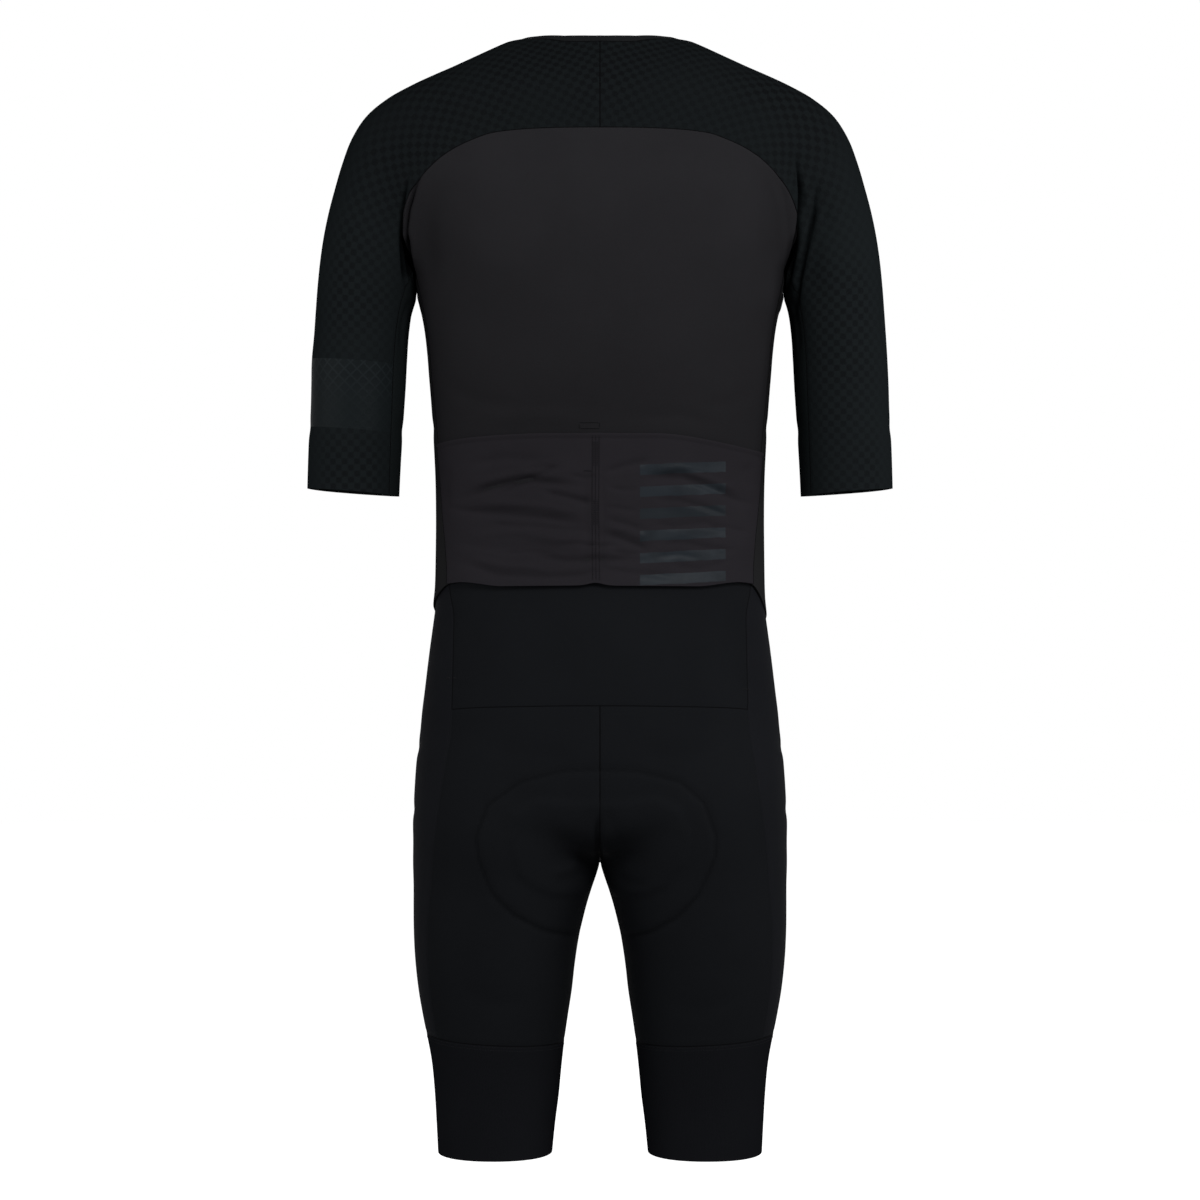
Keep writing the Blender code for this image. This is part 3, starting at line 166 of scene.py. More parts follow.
SIDE_CREASES = (
    (1.0, 3.4, ((-20, -236), (-26, -262), (-24, -290))),
    (0.8, 3.4, ((18, -238), (26, -266), (28, -292))),
    (0.7, 6, ((-40, -640), (-10, -648), (24, -644))),
    (0.6, 6, ((-34, -700), (0, -706), (36, -698))),
    (0.5, 7, ((-28, -350), (4, -358), (30, -352))),
)
POCKET_CREASES = (
    (1.3, 3.0, ((-127, -422), (-100, -413), (-78, -407), (-62, -406), (-42, -408), (-20, -411))),
    (-0.8, 3.4, ((-118, -412), (-92, -404), (-66, -399), (-40, -401))),
    (1.1, 2.8, ((-144, -428), (-120, -432), (-82, -435), (-45, -439), (-10, -446))),
    (-0.8, 3.2, ((-112, -425), (-78, -427), (-44, -430), (-14, -437))),
    (1.2, 2.6, ((-52, -416), (-34, -419), (-20, -423), (-4, -426))),
    (0.8, 3.0, ((-98, -420), (-84, -415), (-58, -402), (-30, -392))),
    (0.6, 4.0, ((-120, -392), (-84, -385), (-46, -390))),
    (-0.7, 4.0, ((-120, -456), (-78, -452), (-36, -458), (-8, -460))),
    (0.7, 4.5, ((-134, -462), (-96, -465), (-52, -463), (-16, -470))),
    (1.0, 3.0, ((-62, -472), (-30, -477), (0, -477), (36, -475))),
    (1.1, 2.8, ((-126, -484), (-90, -489), (-45, -491), (-10, -489), (10, -488))),
    (-0.7, 3.0, ((-120, -477), (-84, -482), (-44, -484))),
    (0.9, 3.0, ((-6, -482), (16, -486), (46, -489), (70, -494))),
    (1.2, 2.6, ((2, -454), (16, -456), (28, -461), (46, -468))),
    (0.9, 2.8, ((4, -440), (22, -444), (40, -450))),
    (-0.6, 3.0, ((6, -447), (24, -451), (42, -458))),
    (0.9, 3.0, ((2, -399), (26, -392), (46, -388))),
    (1.2, 3.0, ((40, -406), (56, -403), (74, -402), (96, -409), (118, -417), (138, -425))),
    (-0.8, 3.2, ((46, -398), (72, -394), (98, -401), (124, -410))),
    (0.9, 2.8, ((46, -424), (70, -423), (92, -428), (120, -438))),
    (0.8, 2.8, ((44, -444), (66, -446), (92, -443), (116, -449))),
    (0.9, 2.8, ((48, -463), (72, -460), (100, -466), (128, -470))),
    (0.7, 2.8, ((60, -481), (88, -484), (118, -480))),
    (0.8, 1.9, ((-41, -463), (-20, -462), (0, -464), (21, -463))),
    (0.7, 1.9, ((-60, -447), (-34, -449), (-8, -451))),
    (0.7, 1.9, ((8, -468), (24, -471), (44, -470))),
    (0.6, 2.0, ((-100, -444), (-70, -447), (-48, -446))),
    (0.6, 1.9, ((-90, -471), (-60, -469), (-36, -471))),
    (0.7, 1.9, ((6, -412), (20, -415), (36, -414))),
    (0.7, 1.9, ((-28, -402), (-12, -404), (-2, -403))),
    (0.6, 1.9, ((4, -430), (18, -431), (34, -434))),
    (0.5, 1.9, ((60, -398), (84, -396), (104, -399))),
    (0.5, 1.9, ((-70, -397), (-52, -394), (-36, -395))),
    (0.6, 1.9, ((50, -474), (70, -472), (88, -475))),
    (0.6, 1.9, ((96, -446), (114, -447), (134, -452))),
    (0.8, 5.0, ((131, -382), (135, -394), (138, -408))),
    (0.6, 5.0, ((-136, -392), (-140, -410), (-138, -430))),
    (0.5, 4.0, ((-11, -396), (-12, -430), (-10, -462), (-12, -490))),
    (0.4, 3.0, ((3, -378), (2, -410), (4, -440), (2, -470), (3, -496))),
)

# ---- the seat pad under the cloth: its outline and that of its raised middle, (x, z) in mm ----
PAD_EDGE = (
    (-3, -661), (-35, -662.5), (-70, -672), (-99, -693), (-109.5, -722), (-106, -745), (-94.5, -773),
    (-75, -792), (-49, -806.5), (-21, -815), (0, -817), (25, -814.5), (45, -808), (68, -794), (87, -773),
    (101.5, -740), (103, -722), (92, -691), (70.6, -672), (34, -662.5),
)
PAD_MIDDLE = (
    (-20, -690), (-56, -688), (-76, -700), (-81, -722), (-73, -754), (-59, -766), (-42, -774.5),
    (-14, -777), (14, -777), (42, -773), (59, -765), (73, -745), (78, -717), (70, -696), (50, -686),
    (20, -690),
)
PAD_RISES = (PAD_EDGE, 0.9, 4), (PAD_MIDDLE, 1.9, 10)   # outline, height and soft edge in mm
PAD_GROOVE = 1.4, 2.6                   # depth and width in mm
PAD_ROWS = -2.3, 2.3                    # mm: how far the pad's rows of stitches lie out of its outline

# ---- hems and edges, in mm ----
HEM_RISE, HEM_FALL = 6.0, 9.0           # at the back's corners, and on the right
HEM_NOTCH = 2.5, -4, 9                  # its height, place and width at the centre of the back
HEM_STAND, HEM_REACH = 2.0, 9.0         # how far a lower edge stands off, and how far up that reaches
POCKET_FALL = 8.0                       # at the pocket's upper right corner
POCKET_ROLL = (1.1, 1.3, 1.3), (-0.3, 4.5, 1.6)     # height, distance from the edge and width
NECK_DROP = 4.4                         # that the sides of the neck lie below the solids' line

# ---- six plain stripes of the right pocket, and the band on the left sleeve, in metres ----
STRIPES = {"left": 0.0355, "right": 0.1122, "top": -0.3925, "pitch": 0.01955, "share": 0.47,
           "slope": 0.05, "count": 6}
SLEEVE_BAND = 0.056, 0.118              # from the cuff
BAND_EDGE = 0.3 * MM

# ---- knits ----
KNIT_ROUGHNESS = 0.62
LOOPS = 0.9 * MM                        # distance between a knit's columns of loops
PATCHY = 0.05                           # how much a knit's patches differ from its colour
ARM_TURN, YOKE_TURN = math.radians(10), math.radians(-6)    # how the sleeves' dimples lean
TURN_PLACE, TURN_FROM, TURN_TO = (0.08, 0.33, 0), 0.15, 0.50    # on the sleeve's flat pattern

# ---- seams with a cord: the piece, {} standing for either side, and its sewn edges ----
JERSEY_SEAMS = {
    "sleeve_shell_{}": ("top", "first", "last"), "side_strip_{}": ("top", "first", "last"),
    "front_panel_{}": ("last",), "pocket_panel": ("first", "last"),
    "neck_binding": ("first", "last", "bottom"),
}
SHORTS_SEAMS = {
    "waist_panel": ("first", "last", "bottom"), "seat_panel_{}": ("last",), "leg_panel_{}": ("last",),
    "leg_gripper_{}": ("top",),
}
LEG_SIDE_SEAMS = {"seat_panel_{}": ("first",)}
CORD_DEPTH = 0.25                       # mm that a cord's middle lies under the cloth's outside

# ---- stitches, in mm ----
LEAP = 20                               # a longer step in a run crosses a gap and holds none
POCKET_PITCH, TACK_PITCH, BAR_PITCH, HIP_PITCH = 1.9, 2.0, 1.2, 0.8
POCKET_LEAN, TACK_LEAN, HIP_LEAN = 30, 70, 75       # degrees that a stitch turns from its row
POCKET_THICK = 1.7                      # how much thicker the pocket's thread is
STITCH_BOW = 0.12                       # how far a stitch's middle stands out
POCKET_ROWS = tuple(((x, -366), (x - 0.3, -430), (x + 0.3, -498)) for x in (-6.8, -3.8, -0.8))
POCKET_TACKS = tuple(((x, top), (x - 0.2, bottom)) for top, bottom in ((-372, -394), (-424, -447))
                     for x in (-5.3, -2.3))
POCKET_BAR = (-14.5, -398), (-7, -398.2)
BOX = (-18.4, -355.6), (-0.4, -355.6), (-0.4, -360.8), (-18.4, -360.8), (-18.4, -355.6)
HIP_TACKS = (-133, -582), (130, -592)
EDGE_ROWS = (
    # piece, its edge, and how far from it the row runs
    ("front_panel_{}", "last", 1.6), ("front_panel_{}", "bottom", 9), ("front_panel_{}", "bottom", 12),
    ("leg_gripper_{}", "top", 1.7), ("leg_gripper_{}", "top", 4.4), ("leg_panel_{}", "first", 1.8),
    ("neck_binding", "bottom", 1.4),
)

# ---- zip teeth, in mm ----
TEETH_IN, TEETH_OUT, TEETH_PITCH = 0.9, 0.45, 2.2   # from the tape's edge, out of it, and apart
TOOTH = 2.6, 1.1, 1.3                   # length, height and width

# ---- floor and lights. A light's power is a share of the main light's. ----
FLOOR_RADIUS, FLOOR_GREY, FLOOR_GLOW = 9, 0.2, 0.95
LIGHTS = (
    # name, place, what it aims at, size, share
    ("key", (1.15, -2.6, 1.15), (0, 0, -0.4), 1.1, 1),
    ("fill", (-2.2, -2.0, -0.3), (0, 0, -0.6), 1.4, 0.25),
    ("right_side", (3.0, -0.7, -0.2), (0, 0, -0.6), 1.2, 0.44),
    ("left_side", (-3.0, -0.7, -0.2), (0, 0, -0.6), 1.2, 0.22),
    ("front_key", (-0.3, 3.0, 0.9), (0, 0, -0.5), 1.1, 0.8),
)

# ---------------------------------------------------------------- sizes and colours

def length(name, default, description):
    return bpy.props.FloatProperty(name=name, default=default, description=description, unit="LENGTH",
                                   min=0.0, precision=5)


def colour(name, default, of_what):
    return bpy.props.FloatVectorProperty(name=name, default=default, description=f"Colour of {of_what}",
                                         subtype="COLOR", size=3, min=0.0, max=1.0)


class ClothSizes(bpy.types.PropertyGroup):
    wall: length("Cloth thickness", 1.2 * MM, "Thickness of the cloth")
    cell: length("Mesh cell", 3.2 * MM, "Size of a mesh cell on plain cloth")
    close_cell: length("Close mesh cell", 2.6 * MM, "Size of a mesh cell on the back and sleeves")
    fine_cell: length("Fine mesh cell", 1.9 * MM, "Size of a mesh cell where the cloth wrinkles")
    seam_depth: length("Seam depth", 0.5 * MM, "How far the cloth is drawn in at a seam")
    seam_width: length("Seam width", 2.0 * MM, "How wide the cloth is drawn in at a seam")
    cord: length("Seam cord", 0.55 * MM, "Half the thickness of the cord that closes a seam")
    stitch_pitch: length("Stitch pitch", 2.4 * MM, "Distance between stitches")
    stitch_length: length("Stitch length", 1.7 * MM, "Length of a stitch")
    thread: length("Thread", 0.17 * MM, "Half the thickness of the thread")
    crease_share: bpy.props.FloatProperty(name="Creases", default=1.5, min=0.0, max=2.0,
                                          description="How strongly the creases are pressed in")
    lattice_pitch: length("Dimple pitch", 8.5 * MM, "Distance between the sleeves' dimples")


class ClothColours(bpy.types.PropertyGroup):
    plum: colour("Back", (0.0149, 0.0145, 0.0161), "the back and fronts")
    pocket: colour("Pocket", (0.0150, 0.0138, 0.0162), "the rear pocket")
    ribs: colour("Sleeves' ribs", (0.0075, 0.0093, 0.0101), "the sleeves between dimples")
    dimples: colour("Sleeves' dimples", (0.0040, 0.0043, 0.0048), "the sleeves' dimples")
    band: colour("Sleeve band", (0.0074, 0.0095, 0.0105), "the plain band on the left sleeve")
    plain: colour("Side panels", (0.0122, 0.0122, 0.0128), "the side panels")
    underarm: colour("Underarms", (0.0078, 0.0097, 0.0103), "the strips under the arms")
    shorts: colour("Shorts", (0.0063, 0.0068, 0.0079), "the shorts")
    leg_side: colour("Legs' sides", (0.0063, 0.0067, 0.0082), "the legs' sides and fronts")
    pad_thread: colour("Pad's thread", (0.0095, 0.0098, 0.0110), "the thread round the pad")
    seam: colour("Seam cord", (0.0022, 0.0022, 0.0025), "the cord in the seams")
    teeth: colour("Zip teeth", (0.021, 0.021, 0.022), "the zip's teeth")
    gripper: colour("Leg bands", (0.0060, 0.0063, 0.0075), "the leg bands")
    binding: colour("Binding", (0.0088, 0.0094, 0.0102), "the neck binding and zip tape")
    thread: colour("Thread", (0.013, 0.013, 0.0145), "the sewing thread")
    stripe: colour("Pocket stripes", (0.0132, 0.0165, 0.0204), "the plain reflective stripes")
    foam: colour("Pad", (0.045, 0.045, 0.050), "the seat pad")
    metal: colour("Zip metal", (0.070, 0.070, 0.076), "the slider and pull")


class StageSizes(bpy.types.PropertyGroup):
    distance: length("Camera distance", 3.0, "Distance from the camera to the middle of the suit")
    height: bpy.props.FloatProperty(name="Camera height", default=-0.5124, unit="LENGTH",
                                    description="Height of the level camera")
    lens: bpy.props.FloatProperty(name="Lens", default=98.36, min=1.0, subtype="DISTANCE_CAMERA",
                                  description="Focal length, in millimetres")
    floor_drop: length("Floor drop", 0.30, "Distance from the leg ends down to the floor")
    key: bpy.props.FloatProperty(name="Main light", default=77.0, min=0.0, subtype="POWER",
                                 description="Power of the main light")
    sky: bpy.props.FloatProperty(name="Surround", default=0.34, min=0.0,
                                 description="Light from the white surround, where 1 is as it looks")


# ---------------------------------------------------------------- points of a solid's outside

def body_axis(name, point):
    """The nearest point of the axis that a piece of cloth wraps round."""
    side = math.copysign(1, point.x)
    if name.startswith(("sleeve", "underarm")):
        return Vector((side * 0.205, 0, min(point.z, -0.2)))
    if name.startswith("leg"):
        return Vector((side * 0.08, 0, point.z))
    return Vector((0, 0, point.z))


def connected(mesh):
    """The mesh's faces, in lots that hang together."""
    seen, lots = set(), []
    for first in mesh.faces:
        if first in seen:
            continue
        lot, ahead = [], [first]
        seen.add(first)
        while ahead:
            face = ahead.pop()
            lot.append(face)
            for edge in face.edges:
                for other in edge.link_faces:
                    if other not in seen:
                        seen.add(other)
                        ahead.append(other)
        lots.append(lot)
    return lots


def outside_of(node_name):
    """The outside of a node's wall as a grid of quads, with no rims and no inside."""
    mesh = bmesh.new()
    mesh.from_mesh(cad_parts[node_name].data)
    bmesh.ops.remove_doubles(mesh, verts=mesh.verts, dist=MERGE)
    rims = [face for face in mesh.faces if min(edge.calc_length() for edge in face.edges) < RIM_EDGE]
    bmesh.ops.delete(mesh, geom=rims, context="FACES_ONLY")
    bmesh.ops.delete(mesh, geom=[edge for edge in mesh.edges if not edge.link_faces], context="EDGES")

    def turned_out(lot):
        return sum(face.calc_area() * face.normal.dot(face.calc_center_median()
                   - body_axis(node_name, face.calc_center_median())) for face in lot)
    kept = set(max(connected(mesh), key=turned_out))
    bmesh.ops.delete(mesh, geom=[face for face in mesh.faces if face not in kept], context="FACES")
    bmesh.ops.join_triangles(mesh, faces=mesh.faces, angle_face_threshold=math.pi,
                             angle_shape_threshold=math.pi, topology_influence=2.0)
    return mesh


def rim_run(start, step, is_end):
    """The rim's points from one of them, by way of step, up to the first that ends the run."""
    run = [start, step]
    while not is_end(run[-1]):
        ahead = [edge.other_vert(run[-1]) for edge in run[-1].link_edges if edge.is_boundary]
        run.append(ahead[0] if ahead[1] is run[-2] else ahead[1])
    return run


def top_edge(mesh, start):
    """The highest side of a four-sided grid, from the corner that start ranks lowest."""
    def is_corner(point):
        return len(point.link_faces) == 1
    runs = [rim_run(corner, edge.other_vert(corner), is_corner)
            for corner in filter(is_corner, mesh.verts) for edge in corner.link_edges]
    runs = [run for run in runs if STARTS[start](run[0].co) < STARTS[start](run[-1].co)]
    return max(runs, key=lambda run: sum(point.co.z for point in run) / len(run))


def top_ring(mesh):
    """The upper rim of a ring, cut at the inside of the leg, anticlockwise from above."""
    rim = [point for point in mesh.verts if point.is_boundary]
    middle = sum(point.co.z for point in rim) / len(rim)
    upper = [point for point in rim if point.co.z > middle]
    centre = sum((point.co for point in upper), Vector()) / len(upper)
    first = min(upper, key=lambda point: abs(point.co.x))
    steps = [edge.other_vert(first) for edge in first.link_edges if edge.is_boundary]
    step = max(steps, key=lambda point: (first.co - centre).cross(point.co - centre).z)
    return rim_run(first, step, lambda point: point is first)


def rows_below(mesh, top):
    """The grid's points, row by row, from its top row down."""
    rows, used = [top], set()
    while True:
        below = []
        for first, second in zip(rows[-1], rows[-1][1:]):
            faces = [face for face in mesh.edges.get((first, second)).link_faces if face not in used]
            if not faces:
                return np.array([[point.co[:] for point in row] for row in rows])
            used.add(faces[0])
            ring = list(faces[0].verts)
            place = ring.index(first)
            step = -1 if ring[(place + 1) % 4] is second else 1
            below.append(ring[(place + step) % 4])
            last = ring[(place + 2 * step) % 4]
        rows.append([*below, last])


def cloth_points(node_name, start):
    """A cloth node's outside points in rows and columns. A ring ends where it begins."""
    mesh = outside_of(node_name)
    top = top_ring(mesh) if start == "ring" else top_edge(mesh, start)
    points = rows_below(mesh, top)
    mesh.free()
    return points


# ---------------------------------------------------------------- smooth shells

def smooth_step(values):
    """0 up to 0, 1 from 1 on, and smooth between them."""
    values = np.clip(values, 0, 1)
    return values * values * (3 - 2 * values)


def ramp(values, start, end):
    """0 up to start, 1 from end on, and smooth between them."""
    return smooth_step((values - start) / (end - start))


def bell(values, middle, width):
    """1 at the middle, falling off to both sides over about the width."""
    return np.exp(-((values - middle) / width) ** 2)


def run_lengths(points):
    """How far along the rows of a grid lie from its first, on average."""
    steps = np.linalg.norm(np.diff(points[..., :3], axis=0), axis=-1)
    return np.concatenate([[0], np.cumsum(steps.reshape(len(steps), -1).mean(axis=1))])


def smooth_curves(knots, values, at):
    """Smooth curves through the values, row by row. A curve keeps the corners it has."""
    step = np.diff(knots)[:, None, None]
    slope = np.diff(values, axis=0) / step
    if len(knots) == 2:
        before = after = np.repeat(slope, 2, axis=0)
    else:
        inner = (slope[:-1] * step[1:] + slope[1:] * step[:-1]) / (step[:-1] + step[1:])
        ways = slope[..., :3] / np.linalg.norm(slope[..., :3], axis=-1, keepdims=True)
        turn = np.degrees(np.arccos(np.clip((ways[:-1] * ways[1:]).sum(axis=-1, keepdims=True), -1, 1)))
        sharp = np.clip((turn - TURN_SOFT) / (TURN_SHARP - TURN_SOFT), 0, 1)
        first = 1.5 * slope[:1] - 0.5 * inner[:1]
        last = 1.5 * slope[-1:] - 0.5 * inner[-1:]
        before = np.concatenate([first, inner * (1 - sharp) + slope[:-1] * sharp, last])
        after = np.concatenate([first, inner * (1 - sharp) + slope[1:] * sharp, last])
    low = np.clip(np.searchsorted(knots, at, side="right") - 1, 0, len(knots) - 2)
    span = step[low]
    t = ((at - knots[low]) / step[low, 0, 0])[:, None, None]
    return ((2 * t**3 - 3 * t**2 + 1) * values[low] + (t**3 - 2 * t**2 + t) * span * after[low]
            + (3 * t**2 - 2 * t**3) * values[low + 1] + (t**3 - t**2) * span * before[low + 1])


def even_steps(knots, cell, start=0, end=None):
    """Even places between two knots, about a cell apart."""
    end = len(knots) - 1 if end is None else end
    count = max(1, round((knots[end] - knots[start]) / cell))
    return np.linspace(knots[start], knots[end], count + 1)


def close_steps(knots, cell, closer):
    """Places between the first and last knots, closer together near one or both ends."""
    length = knots[-1] - knots[0]
    fine = np.linspace(0, length, 2000)
    near = np.full(fine.shape, np.inf)
    if "first" in closer:
        near = fine
    if "last" in closer:
        near = np.minimum(near, length - fine)
    dense = 1 + CLOSER * smooth_step(2 - near / CLOSE_REACH)
    count = np.concatenate([[0], np.cumsum((dense[1:] + dense[:-1]) / 2 * np.diff(fine))]) / cell
    return knots[0] + np.interp(np.linspace(0, count[-1], max(2, round(count[-1]) + 1)), count, fine)


def smooth_grid(values, cell, ring=False, closer=()):
    """The grid's points, and whatever goes with them, on a finer and even grid."""
    knots = run_lengths(values)
    fine = smooth_curves(knots, values, even_steps(knots, cell))
    across = fine.swapaxes(0, 1)
    if ring:
        turned = across[-1 - CUT_LAP:-1].copy(), across[1:1 + CUT_LAP].copy()
        width = across[-1, ..., 3:] - across[0, ..., 3:]
        turned[0][..., 3:] -= width
        turned[1][..., 3:] += width
        across = np.concatenate([turned[0], across, turned[1]])
        knots = run_lengths(across)
        at = even_steps(knots, cell, CUT_LAP, len(knots) - 1 - CUT_LAP)
        fine = smooth_curves(knots, across, at)
        fine[-1, ..., :3] = fine[0, ..., :3]
        return fine.swapaxes(0, 1)
    knots = run_lengths(across)
    return smooth_curves(knots, across, close_steps(knots, cell, closer)).swapaxes(0, 1)


def outward(points, name):
    """Directions out of the cloth at the points of a grid."""
    down, along = np.gradient(points, axis=0), np.gradient(points, axis=1)
    facing = np.cross(along, down)
    facing /= np.maximum(np.linalg.norm(facing, axis=-1, keepdims=True), 1e-12)
    middle = Vector(points[len(points) // 2, points.shape[1] // 2])
    out = Vector(facing[len(points) // 2, points.shape[1] // 2])
    return facing if out.dot(middle - body_axis(name, middle)) > 0 else -facing


# ---------------------------------------------------------------- mesh objects

def deselect_all():
    for piece in bpy.context.selected_objects:
        piece.select_set(False)


def make_active(piece):
    deselect_all()
    piece.select_set(True)
    bpy.context.view_layer.objects.active = piece


def edit_all(piece, step, **settings):
    """One step of edit mode on the whole of a mesh."""
    make_active(piece)
    bpy.ops.object.mode_set(mode="EDIT")
    bpy.ops.mesh.select_all(action="SELECT")
    step(**settings)
    bpy.ops.object.mode_set(mode="OBJECT")


def added(name, data):
    """A new object of the scene, at the origin."""
    piece = bpy.data.objects.new(name, data)
    bpy.context.scene.collection.objects.link(piece)
    return piece


def dress(piece, material):
    """Gives a piece one material and no other."""
    piece.data.materials.clear()
    piece.data.materials.append(material)


def grid_object(name, points, uv=None):
    """A grid primitive whose points are moved to the given rows, from top to bottom."""
    rows, columns = points.shape[0] - 1, points.shape[1] - 1
    deselect_all()
    bpy.ops.mesh.primitive_grid_add(x_subdivisions=columns, y_subdivisions=rows, size=1)
    piece = bpy.context.object
    piece.name = piece.data.name = name
    piece.data.vertices.foreach_set("co", points[::-1].reshape(-1, 3).astype(np.float32).ravel())
    if uv is not None:
        corners = np.zeros(len(piece.data.loops), np.int32)
        piece.data.loops.foreach_get("vertex_index", corners)
        flat = uv[::-1].reshape(-1, 2)[corners]
        piece.data.uv_layers.active.data.foreach_set("uv", flat.astype(np.float32).ravel())
    piece.data.update()
    return piece


def flat_pattern(points):
    """The grid laid flat, in metres: each point's place on the piece as it is cut."""
    piece = grid_object("flat_pattern", points)
    edit_all(piece, bpy.ops.uv.unwrap, method="ANGLE_BASED", margin=0.0)
    corners = np.zeros(len(piece.data.loops), np.int32)
    piece.data.loops.foreach_get("vertex_index", corners)
    read = np.zeros(2 * len(corners), np.float32)
    piece.data.uv_layers.active.data.foreach_get("uv", read)
    flat = np.zeros((len(piece.data.vertices), 2))
    flat[corners] = read.reshape(-1, 2)
    bpy.data.objects.remove(piece, do_unlink=True)
    flat = flat.reshape(points.shape[0], points.shape[1], 2)[::-1]
    flat = flat * math.sqrt(area_of(points) / area_of(flat))
    middle = flat.shape[1] // 2
    down = flat[-1, middle] - flat[0, middle]
    turn = math.atan2(down[0], -down[1])
    spin = np.array([[math.cos(turn), -math.sin(turn)], [math.sin(turn), math.cos(turn)]])
    flat = flat @ spin
    return flat - flat.reshape(-1, 2).min(axis=0)


def straight_pattern(points):
    """A band laid out straight, in metres."""
    down = run_lengths(points)
    along = run_lengths(points.swapaxes(0, 1))
    return np.stack(np.broadcast_arrays(along[None, :], (down[-1] - down)[:, None]), axis=-1)


def area_of(points):
    """Area of a grid of points, in a plane or in space."""
    if points.shape[-1] == 2:
        points = np.concatenate([points, np.zeros((*points.shape[:2], 1))], axis=-1)
    first = np.cross(points[1:, 1:] - points[:-1, :-1], points[1:, :-1] - points[:-1, 1:])
    return 0.5 * np.linalg.norm(first, axis=-1).sum()


# ---------------------------------------------------------------- creases

def distance_to_run(across, up, run):
    """Distance from points to a run of straight stretches, and how far along it they lie."""
    run = np.asarray(run, float) * MM
    ends = run_lengths(run)
    nearest, along = np.full(across.shape, np.inf), np.zeros(across.shape)
    for place, (start, end) in enumerate(zip(run[:-1], run[1:])):
        span = end - start
        share = (across - start[0]) * span[0] + (up - start[1]) * span[1]
        share = np.clip(share / (span @ span), 0, 1)
        near = np.hypot(across - start[0] - share * span[0], up - start[1] - share * span[1])
        closer = near < nearest
        nearest = np.where(closer, near, nearest)
        along = np.where(closer, ends[place] + share * (ends[place + 1] - ends[place]), along)
    return nearest, along / ends[-1]


def inside_run(across, up, run):
    """Whether points lie inside a closed run."""
    run = np.asarray(run, float) * MM
    inside = np.zeros(across.shape, bool)
    for start, end in zip(run, np.roll(run, -1, axis=0)):
        level = (start[1] > up) != (end[1] > up)
        with np.errstate(divide="ignore", invalid="ignore"):
            crossing = start[0] + (up - start[1]) / (end[1] - start[1]) * (end[0] - start[0])
        inside ^= level & (across < crossing)
    return inside


def crease_relief(across, up, creases):
    """Height of the creases, which fade towards their ends."""
    height = np.zeros(across.shape)
    for depth, width, run in creases:
        near, along = distance_to_run(across, up, run)
        fade = 1 if width > BROAD else smooth_step(np.minimum(along, 1 - along) / 0.3 + 0.15)
        height -= depth * MM * fade * np.exp(-(near / (width * MM)) ** 2)
    return height


def pad_relief(across, up):
    """Height of the pad's shape as it shows through the seat."""
    height = np.zeros(across.shape)
    for outline, rise, soft in PAD_RISES:
        near = distance_to_run(across, up, (*outline, outline[0]))[0]
        signed = np.where(inside_run(across, up, outline), near, -near)
        height += rise * MM * smooth_step(signed / (soft * MM) + 0.5)
    return height


def pad_groove(points):
    """1 along the pad's sewn outline, down to 0 away from it."""
    near = distance_to_run(points[..., 0], points[..., 2], (*PAD_EDGE, PAD_EDGE[0]))[0]
    return np.exp(-(near / (PAD_GROOVE[1] * MM)) ** 2)


def in_front(y):
    """0 behind, 1 in front, and smooth between them down the sides."""
    return smooth_step(y / (30 * MM) + 0.5)


def from_behind(facing):
    """1 where the cloth faces back, 0 where it faces forward."""
    return smooth_step(-facing[..., 1] * 2)


def fold_depth(points, extra=()):
    """How deep each point lies in a narrow fold, from 0 to 1: the share of painted shade it gets."""
    x, y, z = np.moveaxis(points, -1, 0)
    front = in_front(y)
    behind, before = ([fold for fold in folds if fold[0] > 0 and fold[1] < NARROW]
                      for folds in ((*BACK_CREASES, *extra), FRONT_CREASES))
    depth = -(1 - front) * crease_relief(x, z, behind) - front * crease_relief(x, z, before)
    return np.clip(depth / FULL_FOLD_SHADE, 0, 1)


def pressed(points, facing, extra=()):
    """The points with the creases of every side pressed in."""
    x, y, z = np.moveaxis(points, -1, 0)
    front = in_front(y)
    relief = (1 - front) * crease_relief(x, z, (*BACK_CREASES, *extra))
    relief += front * crease_relief(x, z, FRONT_CREASES)
    relief += smooth_step(np.abs(facing[..., 0]) * 2 - 0.8) * crease_relief(y, z, SIDE_CREASES)
    share = bpy.context.scene.skinsuit_sizes.crease_share
    return points + facing * (share * relief)[..., None]


def raised_by(points, height):
    """The points moved up by so many mm."""
    return points + (height * MM)[..., None] * np.array([0, 0, 1])


def settled(points):
    """The points with the sides of the neck let down to the height that shows."""
    x, z = np.abs(points[..., 0]) / MM, points[..., 2] / MM
    sides = (0.2 + 0.8 * np.clip(x / 32, 0, 1) ** 1.3) * ramp(-x, -86, -56)
    return raised_by(points, -NECK_DROP * sides * ramp(z, -52, -2))


def flared(points, facing):
    """The points with the lower edge standing off what is under it, and on its own uneven line."""
    x, y, z = np.moveaxis(points, -1, 0) / MM
    notch, notch_place, notch_width = HEM_NOTCH
    raised = HEM_RISE * ramp(np.abs(x), 85, 130) * ramp(-y, 20, 50)
    raised += notch * bell(x, notch_place, notch_width) * ramp(-y, 0, 30)
    lowered = HEM_FALL * ramp(x, 100, 130) * ramp(y, -50, -15) * ramp(-y, -60, -10)
    points = raised_by(points, (raised - lowered) * ramp(-z, 455, 500))
    near = from_side(points, "bottom") / MM
    stand = HEM_STAND * (1 - 0.65 * ramp(np.abs(x), 110, 140))
    return points + facing * (stand * MM * bell(near, 0, HEM_REACH))[..., None]


